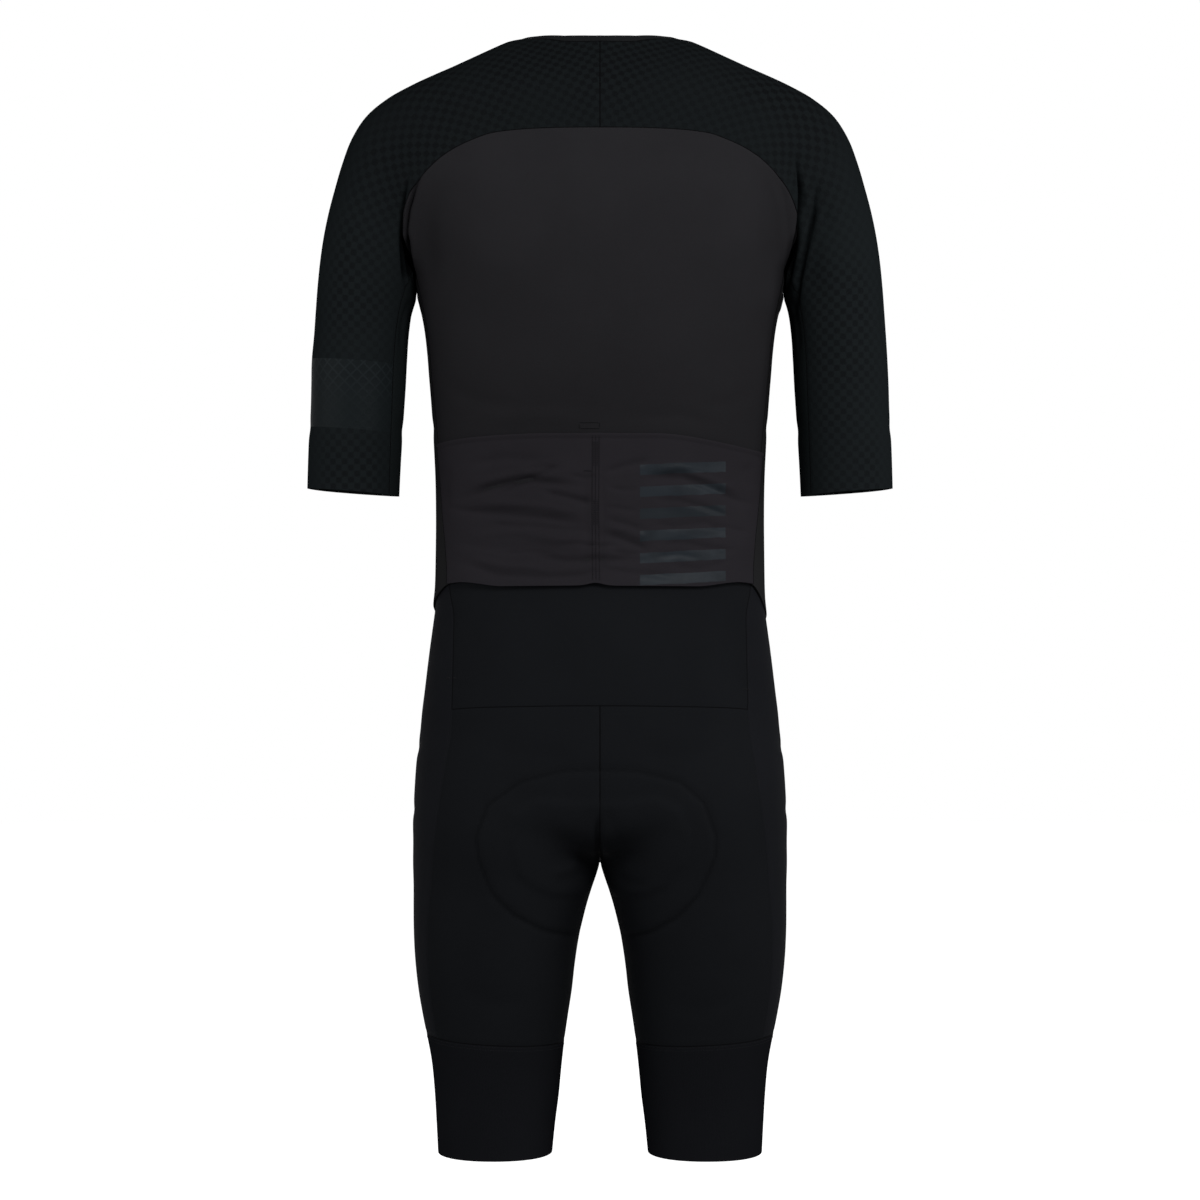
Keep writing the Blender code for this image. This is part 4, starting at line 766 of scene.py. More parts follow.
def seam_dip(points, facing, sewn):
    """The points with the cloth drawn in beside its sewn sides."""
    sizes = bpy.context.scene.skinsuit_sizes
    drawn = np.zeros(points.shape[:2])
    for side in sewn:
        near = from_side(points, side)
        drawn = np.maximum(drawn, bell(near, 0, sizes.seam_width))
    return points - facing * (sizes.seam_depth * drawn)[..., None]


def turned_to(grid, side):
    """A view of the grid whose first row is the named side."""
    return {"top": grid, "bottom": grid[::-1], "first": grid.swapaxes(0, 1),
            "last": grid.swapaxes(0, 1)[::-1]}[side]


def lengths_down(points):
    """How far along the cloth each point of a grid lies from its first row."""
    steps = np.linalg.norm(np.diff(points, axis=0), axis=-1)
    return np.concatenate([np.zeros((1, points.shape[1])), np.cumsum(steps, axis=0)])


def from_side(points, side):
    """Distance of each point from one side of its grid, along the cloth."""
    near = lengths_down(turned_to(points, side))
    if side == "bottom":
        return near[::-1]
    return {"top": near, "first": near.T, "last": near[::-1].T}[side]


# ---------------------------------------------------------------- cloth pieces

CLOTH = {}          # each piece's grid of points and their outward directions


def cloth_shell(name, node_name, start, material, cell, sewn=(), band=False, creases=(),
                shape=None, closer=()):
    """A thin shell of cloth that stands for a node: its outside, its inside and its edges."""
    ring = start == "ring"
    coarse = cloth_points(node_name, start)
    flat = straight_pattern(coarse) if band else flat_pattern(coarse)
    fine = smooth_grid(np.concatenate([coarse, flat], axis=-1), cell, ring, closer)
    points, flat = fine[..., :3], fine[..., 3:]
    facing = outward(points, node_name)
    # painted shade: how deep each point lies in a narrow fold or the pad's groove, which the knits paint
    # darker
    folds = fold_depth(points, creases)
    if shape is over_pad:
        folds = np.maximum(folds, GROOVE_PAINTED_SHADE * from_behind(facing) * pad_groove(points))
    points = settled(seam_dip(pressed(points, facing, creases), facing, sewn))
    if shape is not None:
        points = shape(points, facing)
    if ring:
        points[:, -1] = points[:, 0]
    piece = grid_object(name, points, flat)
    face_out(piece, facing)
    CLOTH[name] = points, facing
    # the share of painted fold shade goes on the mesh as its "fold" attribute
    note(piece, "fold", folds)
    if name.startswith("sleeve"):
        note(piece, "from_cuff", from_side(points, "bottom"))
    if ring:
        edit_all(piece, bpy.ops.mesh.remove_doubles, threshold=MERGE)
    finish_shell(piece, material)
    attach(piece, "garment")
    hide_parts(node_name)


def note(piece, name, values):
    """Writes a value for each of a grid's points on its mesh."""
    attribute = piece.data.attributes.new(name, "FLOAT", "POINT")
    attribute.data.foreach_set("value", values[::-1].astype(np.float32).ravel())


def face_out(piece, facing):
    """Turns the faces of a grid the way its points face."""
    normals = np.zeros(3 * len(piece.data.polygons))
    piece.data.polygons.foreach_get("normal", normals)
    if (normals * facing[::-1][:-1, :-1].ravel()).sum() < 0:
        piece.data.flip_normals()


def finish_shell(piece, material):
    """Gives the cloth its thickness and its material."""
    wall = piece.modifiers.new("wall", "SOLIDIFY")
    wall.thickness = bpy.context.scene.skinsuit_sizes.wall
    wall.offset = -1
    make_active(piece)
    bpy.ops.object.modifier_apply(modifier=wall.name)
    bpy.ops.object.shade_smooth_by_angle(angle=math.radians(SMOOTH_ANGLE))
    dress(piece, material)


# ---------------------------------------------------------------- sewing

def sampled(run, outs, pitch, first=0.5):
    """Places along a run a pitch apart, with the ways along it and out of the cloth there."""
    steps = np.linalg.norm(np.diff(run, axis=0), axis=1)
    ends = np.concatenate([[0], np.cumsum(steps)])
    at = np.arange(first * pitch, ends[-1] - 0.4 * pitch, pitch)
    at = at[steps[np.searchsorted(ends, at, side="right") - 1] < LEAP * MM]

    def along(values, where):
        return np.stack([np.interp(where, ends, values[:, axis]) for axis in range(3)], axis=1)
    places, out = along(run, at), along(outs, at)
    ways = along(run, at + pitch / 4) - along(run, at - pitch / 4)
    ways /= np.linalg.norm(ways, axis=1, keepdims=True)
    out -= (out * ways).sum(axis=1, keepdims=True) * ways
    return places, ways, out / np.linalg.norm(out, axis=1, keepdims=True)


def on_sides(name):
    """The names of the pieces that a name stands for, one for each side that {} stands for."""
    return [name.format(side) for side in SIDES] if "{}" in name else [name]


def inset(name, side, distance):
    """A run on a piece of cloth at a distance from one of its sides, and the ways out of it."""
    points, facing = (turned_to(grid, side) for grid in CLOTH[name])
    near = lengths_down(points)
    return [np.array([[np.interp(distance, near[:, place], grid[:, place, axis]) for axis in range(3)]
                      for place in range(points.shape[1])]) for grid in (points, facing)]


def on_back(names, run, step=2 * MM):
    """A run of (x, z) laid on the back of the cloth, and the ways out of it."""
    knots = run_lengths(run)
    at = even_steps(knots, step)
    way = Vector((0, 1, 0))
    places, outs = [], []
    for x, z in zip(*(np.interp(at, knots, run[:, axis]) for axis in range(2))):
        hits = []
        for name in names:
            hit, place, normal, _ = bpy.data.objects[name].ray_cast(Vector((x, 0, z)) - way, way)
            if hit:
                hits.append((place, normal))
        if hits:
            place, normal = min(hits, key=lambda found: found[0].y)
            places.append(place)
            outs.append(normal)
    return np.array(places), np.array(outs)


def curved(ring, rounds=3):
    """A closed run with its corners cut, round by round."""
    for _ in range(rounds):
        after = np.roll(ring, -1, axis=0)
        ring = np.stack([0.75 * ring + 0.25 * after, 0.25 * ring + 0.75 * after], axis=1).reshape(-1, 2)
    return np.concatenate([ring, ring[:1]])


def unbroken(run):
    """A run's parts between its sharp corners."""
    ways = np.diff(run, axis=0)
    ways /= np.maximum(np.linalg.norm(ways, axis=1, keepdims=True), 1e-9)
    cuts = [0, *(np.flatnonzero((ways[:-1] * ways[1:]).sum(axis=1) < 0.8) + 1), len(run) - 1]
    return [run[start:end + 1] for start, end in zip(cuts[:-1], cuts[1:])]


def cords(name, runs, radius, material):
    """Round cords along runs of points, as one mesh."""
    deselect_all()
    bpy.ops.curve.primitive_bezier_curve_add(location=(0, 0, 0))
    piece = bpy.context.object
    piece.name = name
    piece.data.splines.clear()
    for run in (part for run in runs for part in unbroken(run)):
        spline = piece.data.splines.new("POLY")
        spline.points.add(len(run) - 1)
        spline.points.foreach_set("co", np.c_[run, np.ones(len(run))].astype(np.float32).ravel())
    piece.data.bevel_depth = radius
    piece.data.bevel_resolution = 1
    piece.data.use_fill_caps = True
    bpy.ops.object.convert(target="MESH")
    bpy.ops.object.shade_smooth()
    dress(piece, material)
    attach(piece, "garment")


def bead(size, bow=0.0):
    """Points and faces of one rounded bead: its length, height and width, and how far it bows."""
    deselect_all()
    bpy.ops.mesh.primitive_uv_sphere_add(segments=5, ring_count=4, radius=0.5, location=(0, 0, 0))
    made = bpy.context.object
    points = np.array([point.co[:] for point in made.data.vertices])[:, [2, 0, 1]]
    points[:, 0] = np.sign(points[:, 0]) * np.abs(points[:, 0] * 2) ** 0.75 / 2
    points *= size
    points[:, 1] += bow * (1 - (2 * points[:, 0] / size[0]) ** 2)
    faces = [tuple(face.vertices) for face in made.data.polygons]
    bpy.data.objects.remove(made, do_unlink=True)
    return points, faces


def copies(name, model, rows, material):
    """One mesh of a bead's copies. Each row has their places, their ways and the ways out."""
    points, faces = model
    placed = []
    for places, ways, outs in rows:
        across = np.cross(ways, outs)
        axes = np.stack([ways, outs, across], axis=1)
        placed.append(places[:, None, :] + np.einsum("pa,nax->npx", points, axes))
    placed = np.concatenate(placed)
    every = [tuple(corner + number * len(points) for corner in face)
             for number in range(len(placed)) for face in faces]
    mesh = bpy.data.meshes.new(name)
    mesh.from_pydata(placed.reshape(-1, 3).tolist(), [], every)
    piece = added(name, mesh)
    edit_all(piece, bpy.ops.mesh.normals_make_consistent, inside=False)
    bpy.ops.object.shade_smooth()
    dress(piece, material)
    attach(piece, "garment")


def turned_by(row, angle, every_other=False):
    """A row of stitches, turned on the cloth. Every other one may turn the other way."""
    places, ways, outs = row
    angles = np.full(len(places), math.radians(angle))
    if every_other:
        angles[1::2] *= -1
    turned = ways * np.cos(angles)[:, None] + np.cross(outs, ways) * np.sin(angles)[:, None]
    return places, turned, outs


def sew(name, rows, material, thick=1.0):
    """Stitches along rows that are already sampled."""
    sizes = bpy.context.scene.skinsuit_sizes
    around = 2 * thick * sizes.thread
    copies(name, bead((sizes.stitch_length, around, around), STITCH_BOW * MM), rows, material)


# ---------------------------------------------------------------- materials

class Nodes:
    """Adds nodes to a material. Each method gives back the socket with its result."""

    def __init__(self, made):
        self.tree = made.node_tree
        self.shader = made.node_tree.nodes["Principled BSDF"]

    def add(self, kind, values=(), **settings):
        node = self.tree.nodes.new("ShaderNode" + kind)
        for name, value in settings.items():
            setattr(node, name, value)
        for socket, value in dict(values).items():
            self.put(value, node.inputs[socket])
        return node

    def put(self, value, socket):
        if isinstance(value, bpy.types.NodeSocket):
            self.tree.links.new(value, socket)
        else:
            socket.default_value = value

    def finish(self, **values):
        for name, value in values.items():
            self.put(value, self.shader.inputs[name.replace("_", " ")])

    def coordinates(self, kind):
        return self.add("TexCoord").outputs[kind]

    def attribute(self, name):
        return self.add("Attribute", attribute_name=name).outputs["Fac"]

    def split(self, vector):
        return self.add("SeparateXYZ", {0: vector}).outputs

    def turned(self, vector, angle, scale):
        values = {"Vector": vector, "Rotation": (0, 0, angle), "Scale": (scale, scale, scale)}
        return self.add("Mapping", values).outputs[0]

    def math(self, operation, *values):
        return self.add("Math", dict(enumerate(values)), operation=operation).outputs[0]

    def noise(self, vector, scale, detail=2.0):
        return self.add("TexNoise", {"Vector": vector, "Scale": scale, "Detail": detail}).outputs[0]

    def between(self, value, low, high, start=0.0, end=1.0):
        values = dict(enumerate((value, low, high, start, end)))
        return self.add("MapRange", values, interpolation_type="SMOOTHSTEP").outputs[0]

    def mix(self, share, first, second):
        first, second = (value if isinstance(value, bpy.types.NodeSocket) else (*value, 1)
                         for value in (first, second))
        return self.add("Mix", {0: share, 6: first, 7: second}, data_type="RGBA").outputs[2]

    def grained(self, tone, base, vector, scale, low, share):
        """The tone with a fine grain of lighter fibres."""
        grain = self.between(self.noise(vector, scale, 3), low, 0.75, 0, share)
        return self.mix(grain, tone, shade(base, 1.5))

    def folded(self, tone, base):
        """The tone, darker in the narrow folds: painted shade."""
        depth = self.between(self.attribute("fold"), 0.05, 1, 0, FOLD_PAINTED_SHADE_SHARE)
        return self.mix(depth, tone, shade(base, FOLD_PAINTED_SHADE))

    def bump(self, height, distance, strength, normal=None):
        values = {"Height": height, "Distance": distance, "Strength": strength}
        if normal is not None:
            values["Normal"] = normal
        return self.add("Bump", values).outputs[0]


def material(name, base, roughness, specular, sheen=0.0, metallic=0.0):
    """A material with its constants set on the shader."""
    made = bpy.data.materials.new(name)
    made.use_nodes = True
    shader = made.node_tree.nodes["Principled BSDF"]
    shader.inputs["Base Color"].default_value = (*base, 1)
    shader.inputs["Roughness"].default_value = roughness
    shader.inputs["Specular IOR Level"].default_value = specular
    shader.inputs["Sheen Weight"].default_value = sheen
    shader.inputs["Metallic"].default_value = metallic
    return made


def shade(colour, share):
    """A colour made darker, or lighter where the share is over 1."""
    return tuple(share * part for part in colour)


def knit_loops(nodes, flat, gauge):
    """Height of a knit's loops: columns of loops a gauge apart."""
    across, along = nodes.split(flat)[:2]
    column = nodes.math("SINE", nodes.math("MULTIPLY", across, math.tau / gauge))
    lean = nodes.math("MULTIPLY", column, 1.1)
    row = nodes.math("SINE", nodes.math("MULTIPLY_ADD", along, math.tau / (0.8 * gauge), lean))
    return nodes.math("MULTIPLY_ADD", row, 0.45, column)


def knit(name, base, gauge=LOOPS, specular=0.0, fading=None):
    """A smooth stretch knit: fine columns of loops, faint patches and a grain of fibres."""
    made = material(name, base, KNIT_ROUGHNESS, specular)
    nodes = Nodes(made)
    flat, place = nodes.coordinates("UV"), nodes.coordinates("Object")
    loops = knit_loops(nodes, flat, gauge)
    patches = nodes.between(nodes.noise(place, 11, 4), 0.35, 0.65)
    tone = nodes.mix(patches, shade(base, 1 - PATCHY), shade(base, 1 + PATCHY))
    # painted shade: the knit grows darker from the height above down to the height below, as light
    # falling from above would leave it
    if fading is not None:
        above, below, share = fading
        height = nodes.split(place)[2]
        tone = nodes.mix(nodes.between(height, below, above, share, 0), tone, shade(base, 0.5))
    tone = nodes.grained(tone, base, flat, 1100, 0.45, 0.4)
    # painted shade: the knit's colour is made darker in the hollows between its loops
    sunk = nodes.between(loops, -0.4, -1.3, 0, 0.35)
    # painted shade in the narrow folds
    tone = nodes.folded(nodes.mix(sunk, tone, shade(base, 0.4)), base)
    nodes.finish(Base_Color=tone, Normal=nodes.bump(loops, 0.05 * MM, 0.6))
    return made


def lattice(nodes, flat, pitch):
    """A lattice, 1 at the middle of each dimple, down to -1 between them, and the lines between."""
    angle = nodes.between(nodes.split(flat)[1], TURN_FROM, TURN_TO, ARM_TURN, YOKE_TURN)
    values = {"Vector": flat, "Center": TURN_PLACE, "Angle": angle}
    leaning = nodes.add("VectorRotate", values, rotation_type="Z_AXIS").outputs[0]
    turned = nodes.turned(leaning, math.pi / 4, 1 / pitch)
    waves = [nodes.math("COSINE", nodes.math("MULTIPLY", part, math.tau))
             for part in nodes.split(turned)[:2]]
    lines = nodes.between(nodes.math("MINIMUM", *waves), -0.7, -0.97)
    return nodes.math("MULTIPLY", nodes.math("ADD", *waves), 0.5), lines


def dimpled_knit(name, ribs, dimples, pitch, band=None):
    """The sleeves' knit: darker dimples between lighter ribs, and maybe a glossier band."""
    made = material(name, ribs, KNIT_ROUGHNESS, 0.0)
    nodes = Nodes(made)
    flat, place = nodes.coordinates("UV"), nodes.coordinates("Object")
    net, lines = lattice(nodes, flat, pitch)
    dots = nodes.between(net, -0.35, 0.5)
    strength = nodes.between(nodes.noise(place, 7, 2), 0.38, 0.6, 0.4, 0.85)
    outer = nodes.math("ABSOLUTE", nodes.split(nodes.add("NewGeometry").outputs["Normal"])[0])
    strength = nodes.math("MULTIPLY", strength, nodes.between(outer, 0.42, 0.88, 0.8, 0.25))
    yoke = nodes.between(nodes.split(place)[2], -0.16, -0.10, 1.0, 1.4)
    strength = nodes.math("MINIMUM", nodes.math("MULTIPLY", strength, yoke), 1.0)
    share = nodes.math("MULTIPLY", dots, strength)
    # painted shade: the knit is darker towards the top of the sleeves and the yoke, to hold down the
    # light falling on them from above
    upper = nodes.between(nodes.split(place)[2], -0.20, -0.07, 0, 0.34)
    tone = nodes.mix(upper, nodes.mix(share, ribs, dimples), shade(dimples, 0.7))
    # painted shade in the narrow folds
    tone = nodes.folded(nodes.grained(tone, ribs, flat, 1300, 0.4, 0.35), ribs)
    sunk = nodes.bump(nodes.math("MULTIPLY", share, -1.0), 0.35 * MM, 0.8)
    normal = nodes.bump(knit_loops(nodes, flat, 1.1 * MM), 0.04 * MM, 0.5, sunk)
    if band is not None:
        colour, low, high = band
        near = nodes.attribute("from_cuff")
        inside = nodes.math("MULTIPLY", nodes.between(near, low - BAND_EDGE, low + BAND_EDGE),
                            nodes.between(near, high - BAND_EDGE, high + BAND_EDGE, 1, 0))
        fading = nodes.between(near, high - 45 * MM, high - 5 * MM, 0.12, 0.7)
        film = nodes.mix(nodes.math("MULTIPLY", lines, fading), colour, shade(colour, 1.6))
        tone = nodes.mix(inside, tone, film)
        nodes.finish(Roughness=nodes.between(inside, 0, 1, KNIT_ROUGHNESS, 0.42),
                     Specular_IOR_Level=nodes.between(inside, 0, 1, 0.0, 0.02))
    nodes.finish(Base_Color=tone, Normal=normal)
    return made


def striped_knit(name, base, stripe):
    """The pocket's knit, with the plain stripes printed on its right half."""
    made = knit(name, base)
    nodes = Nodes(made)
    knitted = nodes.shader.inputs["Base Color"].links[0].from_socket
    place = nodes.coordinates("Object")
    x, _, z = nodes.split(place)
    wave = nodes.math("MULTIPLY_ADD", nodes.noise(place, 70, 2), 2.0 * MM, STRIPES["top"] - 1.0 * MM)
    down = nodes.math("SUBTRACT", wave, z)
    down = nodes.math("MULTIPLY_ADD", x, STRIPES["slope"], down)
    down = nodes.math("SUBTRACT", down, STRIPES["slope"] * STRIPES["left"])
    count = nodes.math("DIVIDE", down, STRIPES["pitch"])
    part = nodes.math("FRACT", count)
    printed = nodes.between(part, STRIPES["share"] - 0.015, STRIPES["share"] + 0.015, 1, 0)
    for value, start, end in ((count, 0, STRIPES["count"]), (x, STRIPES["left"], STRIPES["right"])):
        for side, limit in (("GREATER_THAN", start), ("LESS_THAN", end)):
            printed = nodes.math("MULTIPLY", printed, nodes.math(side, value, limit))
    third = nodes.math("COMPARE", nodes.math("FLOOR", count), 2.0, 0.1)
    ink = nodes.mix(third, stripe, shade(stripe, 0.72))
    ink = nodes.mix(nodes.between(nodes.noise(place, 34, 3), 0.4, 0.65), ink, shade(stripe, 0.78))
    nodes.finish(Base_Color=nodes.mix(printed, knitted, ink),
                 Roughness=nodes.between(printed, 0, 1, KNIT_ROUGHNESS, 0.4),
                 Specular_IOR_Level=nodes.between(printed, 0, 1, 0.0, 0.06))
    return made


def spun(name, base):
    """Thread and cord: a plain colour with a fine twist."""
    made = material(name, base, 0.7, 0.018)
    nodes = Nodes(made)
    fibres = nodes.noise(nodes.coordinates("Object"), 2600)
    tone = nodes.mix(nodes.between(fibres, 0.35, 0.7), shade(base, 0.75), shade(base, 1.4))
    nodes.finish(Base_Color=tone, Normal=nodes.bump(fibres, 0.05 * MM, 0.6))
    return made


def lacquered(name, base):
    """Dark lacquered metal with slight wear."""
    made = material(name, base, 0.34, 0.4, metallic=0.6)
    nodes = Nodes(made)
    place = nodes.coordinates("Object")
    worn = nodes.between(nodes.noise(place, 420, 4), 0.55, 0.75)
    nodes.finish(Base_Color=nodes.mix(worn, base, shade(base, 2.2)),
                 Roughness=nodes.between(nodes.noise(place, 900, 3), 0.3, 0.7, 0.26, 0.46),
                 Normal=nodes.bump(nodes.noise(place, 1500, 2), 0.02 * MM, 0.4))
    return made


def brushed_foam(name, base):
    """The pad's brushed knit over perforated foam."""
    made = material(name, base, 0.8, 0.05, sheen=0.1)
    nodes = Nodes(made)
    place = nodes.coordinates("Object")
    cells = nodes.add("TexVoronoi", {"Vector": place, "Scale": 260.0}).outputs["Distance"]
    holes = nodes.between(cells, 0.12, 0.3, 1, 0)
    fuzz = nodes.noise(place, 1500, 3)
    tone = nodes.mix(nodes.between(fuzz, 0.35, 0.7), shade(base, 0.8), shade(base, 1.3))
    # painted shade: the perforations' holes are darker, as shade inside them
    tone = nodes.mix(holes, tone, shade(base, 0.35))
    height = nodes.math("MULTIPLY_ADD", holes, -3.0, fuzz)
    nodes.finish(Base_Color=tone, Normal=nodes.bump(height, 0.15 * MM, 0.7))
    return made


# ---------------------------------------------------------------- operators

class SkinsuitOperator:
    bl_options = {"REGISTER", "UNDO"}

    @property
    def sizes(self):
        return bpy.context.scene.skinsuit_sizes

    @property
    def colours(self):
        return bpy.context.scene.skinsuit_colours


class SKINSUIT_OT_back(SkinsuitOperator, bpy.types.Operator):
    """Back panel, from the yoke seam to the jersey's hem"""
    bl_idname = "skinsuit.back"
    bl_label = "Back"

    def execute(self, context):
        # the back's knit with painted shade, darker towards the hem
        plum = knit("plum_jersey_knit", self.colours.plum, fading=(-0.12, -0.36, 0.4))
        cloth_shell("back_panel", "back", "left", plum, self.sizes.close_cell,
                    sewn=("top", "first", "last"), shape=flared, closer=("first", "last"))
        return {"FINISHED"}


class SKINSUIT_OT_sleeves(SkinsuitOperator, bpy.types.Operator):
    """Dimpled raglan sleeves with the yoke"""
    bl_idname = "skinsuit.sleeves"
    bl_label = "Sleeves"

    def execute(self, context):
        for side in SIDES:
            band = (self.colours.band, *SLEEVE_BAND) if side == "left" else None
            dimpled = dimpled_knit(f"dimpled_knit_{side}", self.colours.ribs, self.colours.dimples,
                                   self.sizes.lattice_pitch, band)
            cloth_shell(f"sleeve_shell_{side}", f"sleeve_{side}", "centre", dimpled,
                        self.sizes.close_cell, sewn=("top", "first", "last"), closer=("first", "last"))
        return {"FINISHED"}


class SKINSUIT_OT_plain_strips(SkinsuitOperator, bpy.types.Operator):
    """Plain strips under the arms and down the sides"""
    bl_idname = "skinsuit.plain_strips"
    bl_label = "Side panels and underarms"

    def execute(self, context):
        finishes = (("side", knit("side_knit", self.colours.plain)),
                    ("underarm", knit("underarm_knit", self.colours.underarm)))
        for side in SIDES:
            for place, plain in finishes:
                cloth_shell(f"{place}_strip_{side}", f"{place}_{side}", "back", plain,
                            self.sizes.close_cell, sewn=("top", "first", "last"),
                            shape=flared if place == "side" else None)
        return {"FINISHED"}


class SKINSUIT_OT_fronts(SkinsuitOperator, bpy.types.Operator):
    """Fronts, from the raglan seams to the hem"""
    bl_idname = "skinsuit.fronts"
    bl_label = "Fronts"

    def execute(self, context):
        plum = bpy.data.materials["plum_jersey_knit"]
        for side in SIDES:
            cloth_shell(f"front_panel_{side}", f"front_{side}", "outer", plum,
                        self.sizes.cell, sewn=("top", "first", "last"), shape=flared)
        return {"FINISHED"}


class SKINSUIT_OT_neck(SkinsuitOperator, bpy.types.Operator):
    """Binding round the neck"""
    bl_idname = "skinsuit.neck"
    bl_label = "Neck band"

    def execute(self, context):
        binding = knit("binding_knit", self.colours.binding, gauge=0.7 * MM)
        cloth_shell("neck_binding", "neck_band", "left", binding, self.sizes.fine_cell,
                    sewn=("bottom",), band=True)
        return {"FINISHED"}


class SKINSUIT_OT_zip(SkinsuitOperator, bpy.types.Operator):
    """Zip tapes, teeth, slider and pull"""
    bl_idname = "skinsuit.zip"
    bl_label = "Zip"

    def execute(self, context):
        tape = bpy.data.materials["binding_knit"]
        metal = lacquered("zip_lacquer", self.colours.metal)
        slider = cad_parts["zip_slider"]
        heights = [(slider.matrix_world @ Vector(corner)).z for corner in slider.bound_box]
        rows = []
        for side in SIDES:
            name = f"zip_tape_strip_{side}"
            cloth_shell(name, f"zip_tape_{side}", "outer", tape, self.sizes.fine_cell,
                        band=True)
            run, outs = inset(name, "last", TEETH_IN * MM)
            places, ways, out = sampled(run, outs, TEETH_PITCH * MM, 0.5 if side == "right" else 1.0)
            clear = (places[:, 2] < min(heights)) | (places[:, 2] > max(heights))
            out = out[clear]
            rows.append(turned_by((places[clear] + out * TEETH_OUT * MM, ways[clear], out), 90))
        tooth = bead([size * MM for size in TOOTH])
        copies("zip_coil", tooth, rows, spun("zip_teeth", self.colours.teeth))
        for name in ("zip_slider", "zip_pull"):
            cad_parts[name].material_slots[0].material = metal
        return {"FINISHED"}


class SKINSUIT_OT_pocket(SkinsuitOperator, bpy.types.Operator):
    """Rear pocket with its wrinkles and stripes, drawn in at its sewn sides"""
    bl_idname = "skinsuit.pocket"
    bl_label = "Rear pocket"

    def execute(self, context):
        striped = striped_knit("pocket_knit", self.colours.pocket, self.colours.stripe)
        cloth_shell("pocket_panel", "rear_pocket", "left", striped, self.sizes.fine_cell,
                    sewn=("first", "last"), creases=POCKET_CREASES, shape=rolled_edge)
        return {"FINISHED"}


def rolled_edge(points, facing):
    """The pocket with its upper edge turned over into a round hem."""
    x, _, z = np.moveaxis(points, -1, 0) / MM
    points = raised_by(points, -POCKET_FALL * ramp(x, 50, 145) * ramp(z, -455, -380))
    near = from_side(points, "top") / MM
    height = sum(rise * bell(near, middle, width) for rise, middle, width in POCKET_ROLL)
    return flared(points + facing * (height * MM)[..., None], facing)


class SKINSUIT_OT_shorts(SkinsuitOperator, bpy.types.Operator):
    """Waist, seat and legs of the shorts"""
    bl_idname = "skinsuit.shorts"
    bl_label = "Shorts"

    def execute(self, context):
        dense = knit("shorts_knit", self.colours.shorts, specular=0.005)
        strip = knit("shorts_side_knit", self.colours.leg_side, specular=0.012)
        cloth_shell("waist_panel", "waist_back", "left", dense, self.sizes.cell,
                    sewn=("first", "last", "bottom"))
        for side in SIDES:
            cloth_shell(f"seat_panel_{side}", f"leg_back_{side}", "outer", dense,
                        self.sizes.close_cell, sewn=("top", "first", "last", "bottom"), shape=over_pad)
            cloth_shell(f"leg_panel_{side}", f"leg_front_{side}", "back", strip,
                        self.sizes.cell, sewn=("first", "last", "bottom"))
        return {"FINISHED"}


def over_pad(points, facing):
    """The seat with the pad's shape showing through."""
    relief = pad_relief(points[..., 0], points[..., 2]) - PAD_GROOVE[0] * MM * pad_groove(points)
    return points + facing * (from_behind(facing) * relief)[..., None]


class SKINSUIT_OT_leg_bands(SkinsuitOperator, bpy.types.Operator):
    """Elastic bands at the leg ends"""
    bl_idname = "skinsuit.leg_bands"
    bl_label = "Leg bands"

    def execute(self, context):
        elastic = knit("gripper_knit", self.colours.gripper, gauge=1.3 * MM)
        for side in SIDES:
            cloth_shell(f"leg_gripper_{side}", f"leg_band_{side}", "ring", elastic,
                        self.sizes.cell, sewn=("top",), band=True)
        return {"FINISHED"}


class SKINSUIT_OT_pad(SkinsuitOperator, bpy.types.Operator):
    """Seat pad inside the shorts"""
    bl_idname = "skinsuit.pad"
    bl_label = "Seat pad"

    def execute(self, context):
        piece = added("seat_pad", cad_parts["pad"].data.copy())
        edit_all(piece, bpy.ops.mesh.remove_doubles, threshold=MERGE)
        remesh = piece.modifiers.new("foam", "REMESH")
        remesh.mode = "VOXEL"
        remesh.voxel_size = 2.2 * MM
        soften = piece.modifiers.new("soften", "SMOOTH")
        soften.iterations = 12
        for modifier in (remesh, soften):
            bpy.ops.object.modifier_apply(modifier=modifier.name)
        bpy.ops.object.shade_smooth()
        dress(piece, brushed_foam("pad_foam", self.colours.foam))
        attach(piece, "garment")
        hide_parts("pad")
        return {"FINISHED"}


class SKINSUIT_OT_seams(SkinsuitOperator, bpy.types.Operator):
    """Cords that close the seams"""
    bl_idname = "skinsuit.seams"
    bl_label = "Seams"

    def execute(self, context):
        dark = spun("seam_cord", self.colours.seam)
        soft = spun("soft_seam_cord", self.colours.shorts)
        groups = (("jersey_seams", dark, JERSEY_SEAMS), ("shorts_seams", dark, SHORTS_SEAMS),
                  ("leg_side_seams", soft, LEG_SIDE_SEAMS))
        for name, cord, pieces in groups:
            sewn = [(piece, edge) for pair, edges in pieces.items() for piece in on_sides(pair)
                    for edge in edges]
            runs = []
            for piece, edge in sewn:
                points, facing = (turned_to(grid, edge)[0] for grid in CLOTH[piece])
                runs.append(points - facing * CORD_DEPTH * MM)
            cords(name, runs, self.sizes.cord, cord)
        return {"FINISHED"}


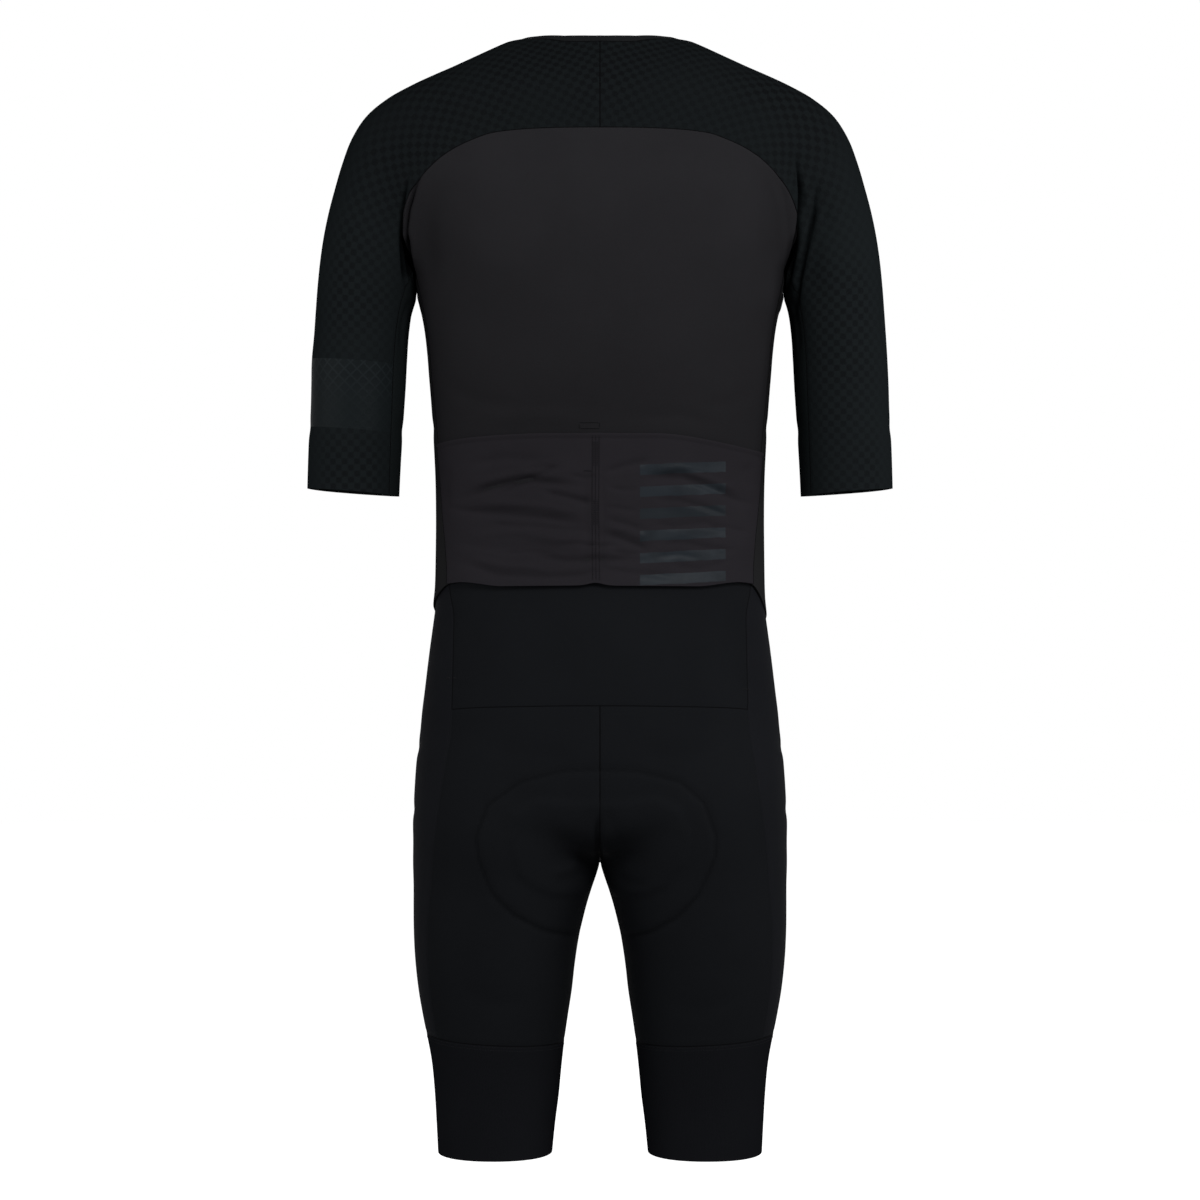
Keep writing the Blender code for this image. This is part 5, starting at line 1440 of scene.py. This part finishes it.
class SKINSUIT_OT_stitches(SkinsuitOperator, bpy.types.Operator):
    """Rows of stitches on the pocket, the pad's outline, the zip and the hems"""
    bl_idname = "skinsuit.stitches"
    bl_label = "Stitches"

    def execute(self, context):
        pitch = self.sizes.stitch_pitch
        panel = ("pocket_panel",)
        pocket = [turned_by(self.laid(panel, run, POCKET_PITCH), POCKET_LEAN) for run in POCKET_ROWS]
        pocket += [turned_by(self.laid(panel, run, TACK_PITCH), TACK_LEAN, every_other=True)
                   for run in POCKET_TACKS]
        pocket.append(self.laid(panel, POCKET_BAR, BAR_PITCH))
        pocket += [self.laid(("back_panel",), run, POCKET_PITCH) for run in zip(BOX[:-1], BOX[1:])]
        sew("pocket_stitches", pocket, spun("dark_thread", self.colours.seam), POCKET_THICK)

        outline = np.array(PAD_EDGE, float)
        out = outline - outline.mean(axis=0)
        out /= np.linalg.norm(out, axis=1, keepdims=True)
        rings = [curved((outline + out * spread) * MM) for spread in PAD_ROWS]
        pad = [sampled(*on_back(on_sides("seat_panel_{}"), ring), pitch) for ring in rings]
        sew("pad_stitches", pad, spun("pad_thread", self.colours.pad_thread))

        edges = [sampled(*inset(piece, edge, distance * MM), pitch)
                 for pair, edge, distance in EDGE_ROWS for piece in on_sides(pair)]
        hips = ["waist_panel", *on_sides("leg_panel_{}")]
        for x, z in HIP_TACKS:
            row = self.laid(hips, ((x - 4, z), (x + 5, z)), HIP_PITCH)
            edges.append(turned_by(row, HIP_LEAN, every_other=True))
        sew("edge_stitches", edges, spun("thread", self.colours.thread))
        return {"FINISHED"}

    def laid(self, names, run, pitch):
        """A row of stitches along a run of (x, z), both in mm."""
        return sampled(*on_back(names, np.array(run, float) * MM), pitch * MM)


class SKINSUIT_OT_stage(SkinsuitOperator, bpy.types.Operator):
    """Camera, floor and lights"""
    bl_idname = "skinsuit.stage"
    bl_label = "Stage"

    def execute(self, context):
        stage = context.scene.skinsuit_stage
        camera = added("camera", bpy.data.cameras.new("camera"))
        camera.location = (0, -stage.distance, stage.height)
        camera.rotation_euler = (math.pi / 2, 0, 0)
        camera.data.lens = stage.lens
        camera.data.sensor_width = 36
        context.scene.camera = camera
        context.scene.view_settings.view_transform = "Standard"

        world = bpy.data.worlds.new("surround")
        world.use_nodes = True
        surround = world.node_tree.nodes["Background"]
        surround.inputs["Color"].default_value = (1, 1, 1, 1)
        seen = world.node_tree.nodes.new("ShaderNodeLightPath")
        strength = world.node_tree.nodes.new("ShaderNodeMapRange")
        strength.inputs["To Min"].default_value = stage.sky
        world.node_tree.links.new(seen.outputs["Is Camera Ray"], strength.inputs["Value"])
        world.node_tree.links.new(strength.outputs["Result"], surround.inputs["Strength"])
        context.scene.world = world

        deselect_all()
        bpy.ops.mesh.primitive_circle_add(vertices=64, radius=FLOOR_RADIUS, fill_type="NGON",
                                          location=(0, 0, CAD_BOX[0].z - stage.floor_drop))
        floor = context.object
        floor.name = "floor"
        pale = material("pale_floor", (FLOOR_GREY,) * 3, 0.9, 0.1)
        shader = pale.node_tree.nodes["Principled BSDF"]
        shader.inputs["Emission Color"].default_value = (1, 1, 1, 1)
        shader.inputs["Emission Strength"].default_value = FLOOR_GLOW
        floor.data.materials.append(pale)
        floor.visible_diffuse = False
        floor.visible_glossy = False
        for name, place, aim, size, share in LIGHTS:
            lamp = bpy.data.lights.new(name, "AREA")
            lamp.size = size
            lamp.energy = stage.key * share
            piece = added(name, lamp)
            piece.location = place
            piece.rotation_euler = (Vector(aim) - Vector(place)).to_track_quat("-Z", "Y").to_euler()
        return {"FINISHED"}


class SKINSUIT_PT_panel(bpy.types.Panel):
    """Lists the suit's pieces"""
    bl_idname = "SKINSUIT_PT_panel"
    bl_label = "Skinsuit"
    bl_space_type = "VIEW_3D"
    bl_region_type = "UI"
    bl_category = "Skinsuit"

    def draw(self, context):
        for operator in OPERATORS:
            self.layout.operator(operator.bl_idname)
        for group, _ in GROUPS:
            values = getattr(context.scene, group)
            column = self.layout.box().column()
            for name in values.__annotations__:
                column.prop(values, name)


GROUPS = (
    ("skinsuit_sizes", ClothSizes), ("skinsuit_colours", ClothColours), ("skinsuit_stage", StageSizes),
)
OPERATORS = (
    SKINSUIT_OT_back, SKINSUIT_OT_sleeves, SKINSUIT_OT_plain_strips, SKINSUIT_OT_fronts,
    SKINSUIT_OT_neck, SKINSUIT_OT_zip, SKINSUIT_OT_pocket, SKINSUIT_OT_shorts,
    SKINSUIT_OT_leg_bands, SKINSUIT_OT_pad, SKINSUIT_OT_seams, SKINSUIT_OT_stitches, SKINSUIT_OT_stage,
)


def register():
    for name, group in GROUPS:
        bpy.utils.register_class(group)
        setattr(bpy.types.Scene, name, bpy.props.PointerProperty(type=group))
    for operator in OPERATORS:
        bpy.utils.register_class(operator)
    bpy.utils.register_class(SKINSUIT_PT_panel)


def unregister():
    bpy.utils.unregister_class(SKINSUIT_PT_panel)
    for operator in reversed(OPERATORS):
        bpy.utils.unregister_class(operator)
    for name, group in reversed(GROUPS):
        delattr(bpy.types.Scene, name)
        bpy.utils.unregister_class(group)


def main():
    register()
    bpy.ops.skinsuit.back()
    bpy.ops.skinsuit.sleeves()
    bpy.ops.skinsuit.plain_strips()
    bpy.ops.skinsuit.fronts()
    bpy.ops.skinsuit.neck()
    bpy.ops.skinsuit.zip()
    bpy.ops.skinsuit.pocket()
    bpy.ops.skinsuit.shorts()
    bpy.ops.skinsuit.leg_bands()
    bpy.ops.skinsuit.pad()
    bpy.ops.skinsuit.seams()
    bpy.ops.skinsuit.stitches()
    bpy.ops.skinsuit.stage()


if __name__ == "__main__":
    main()
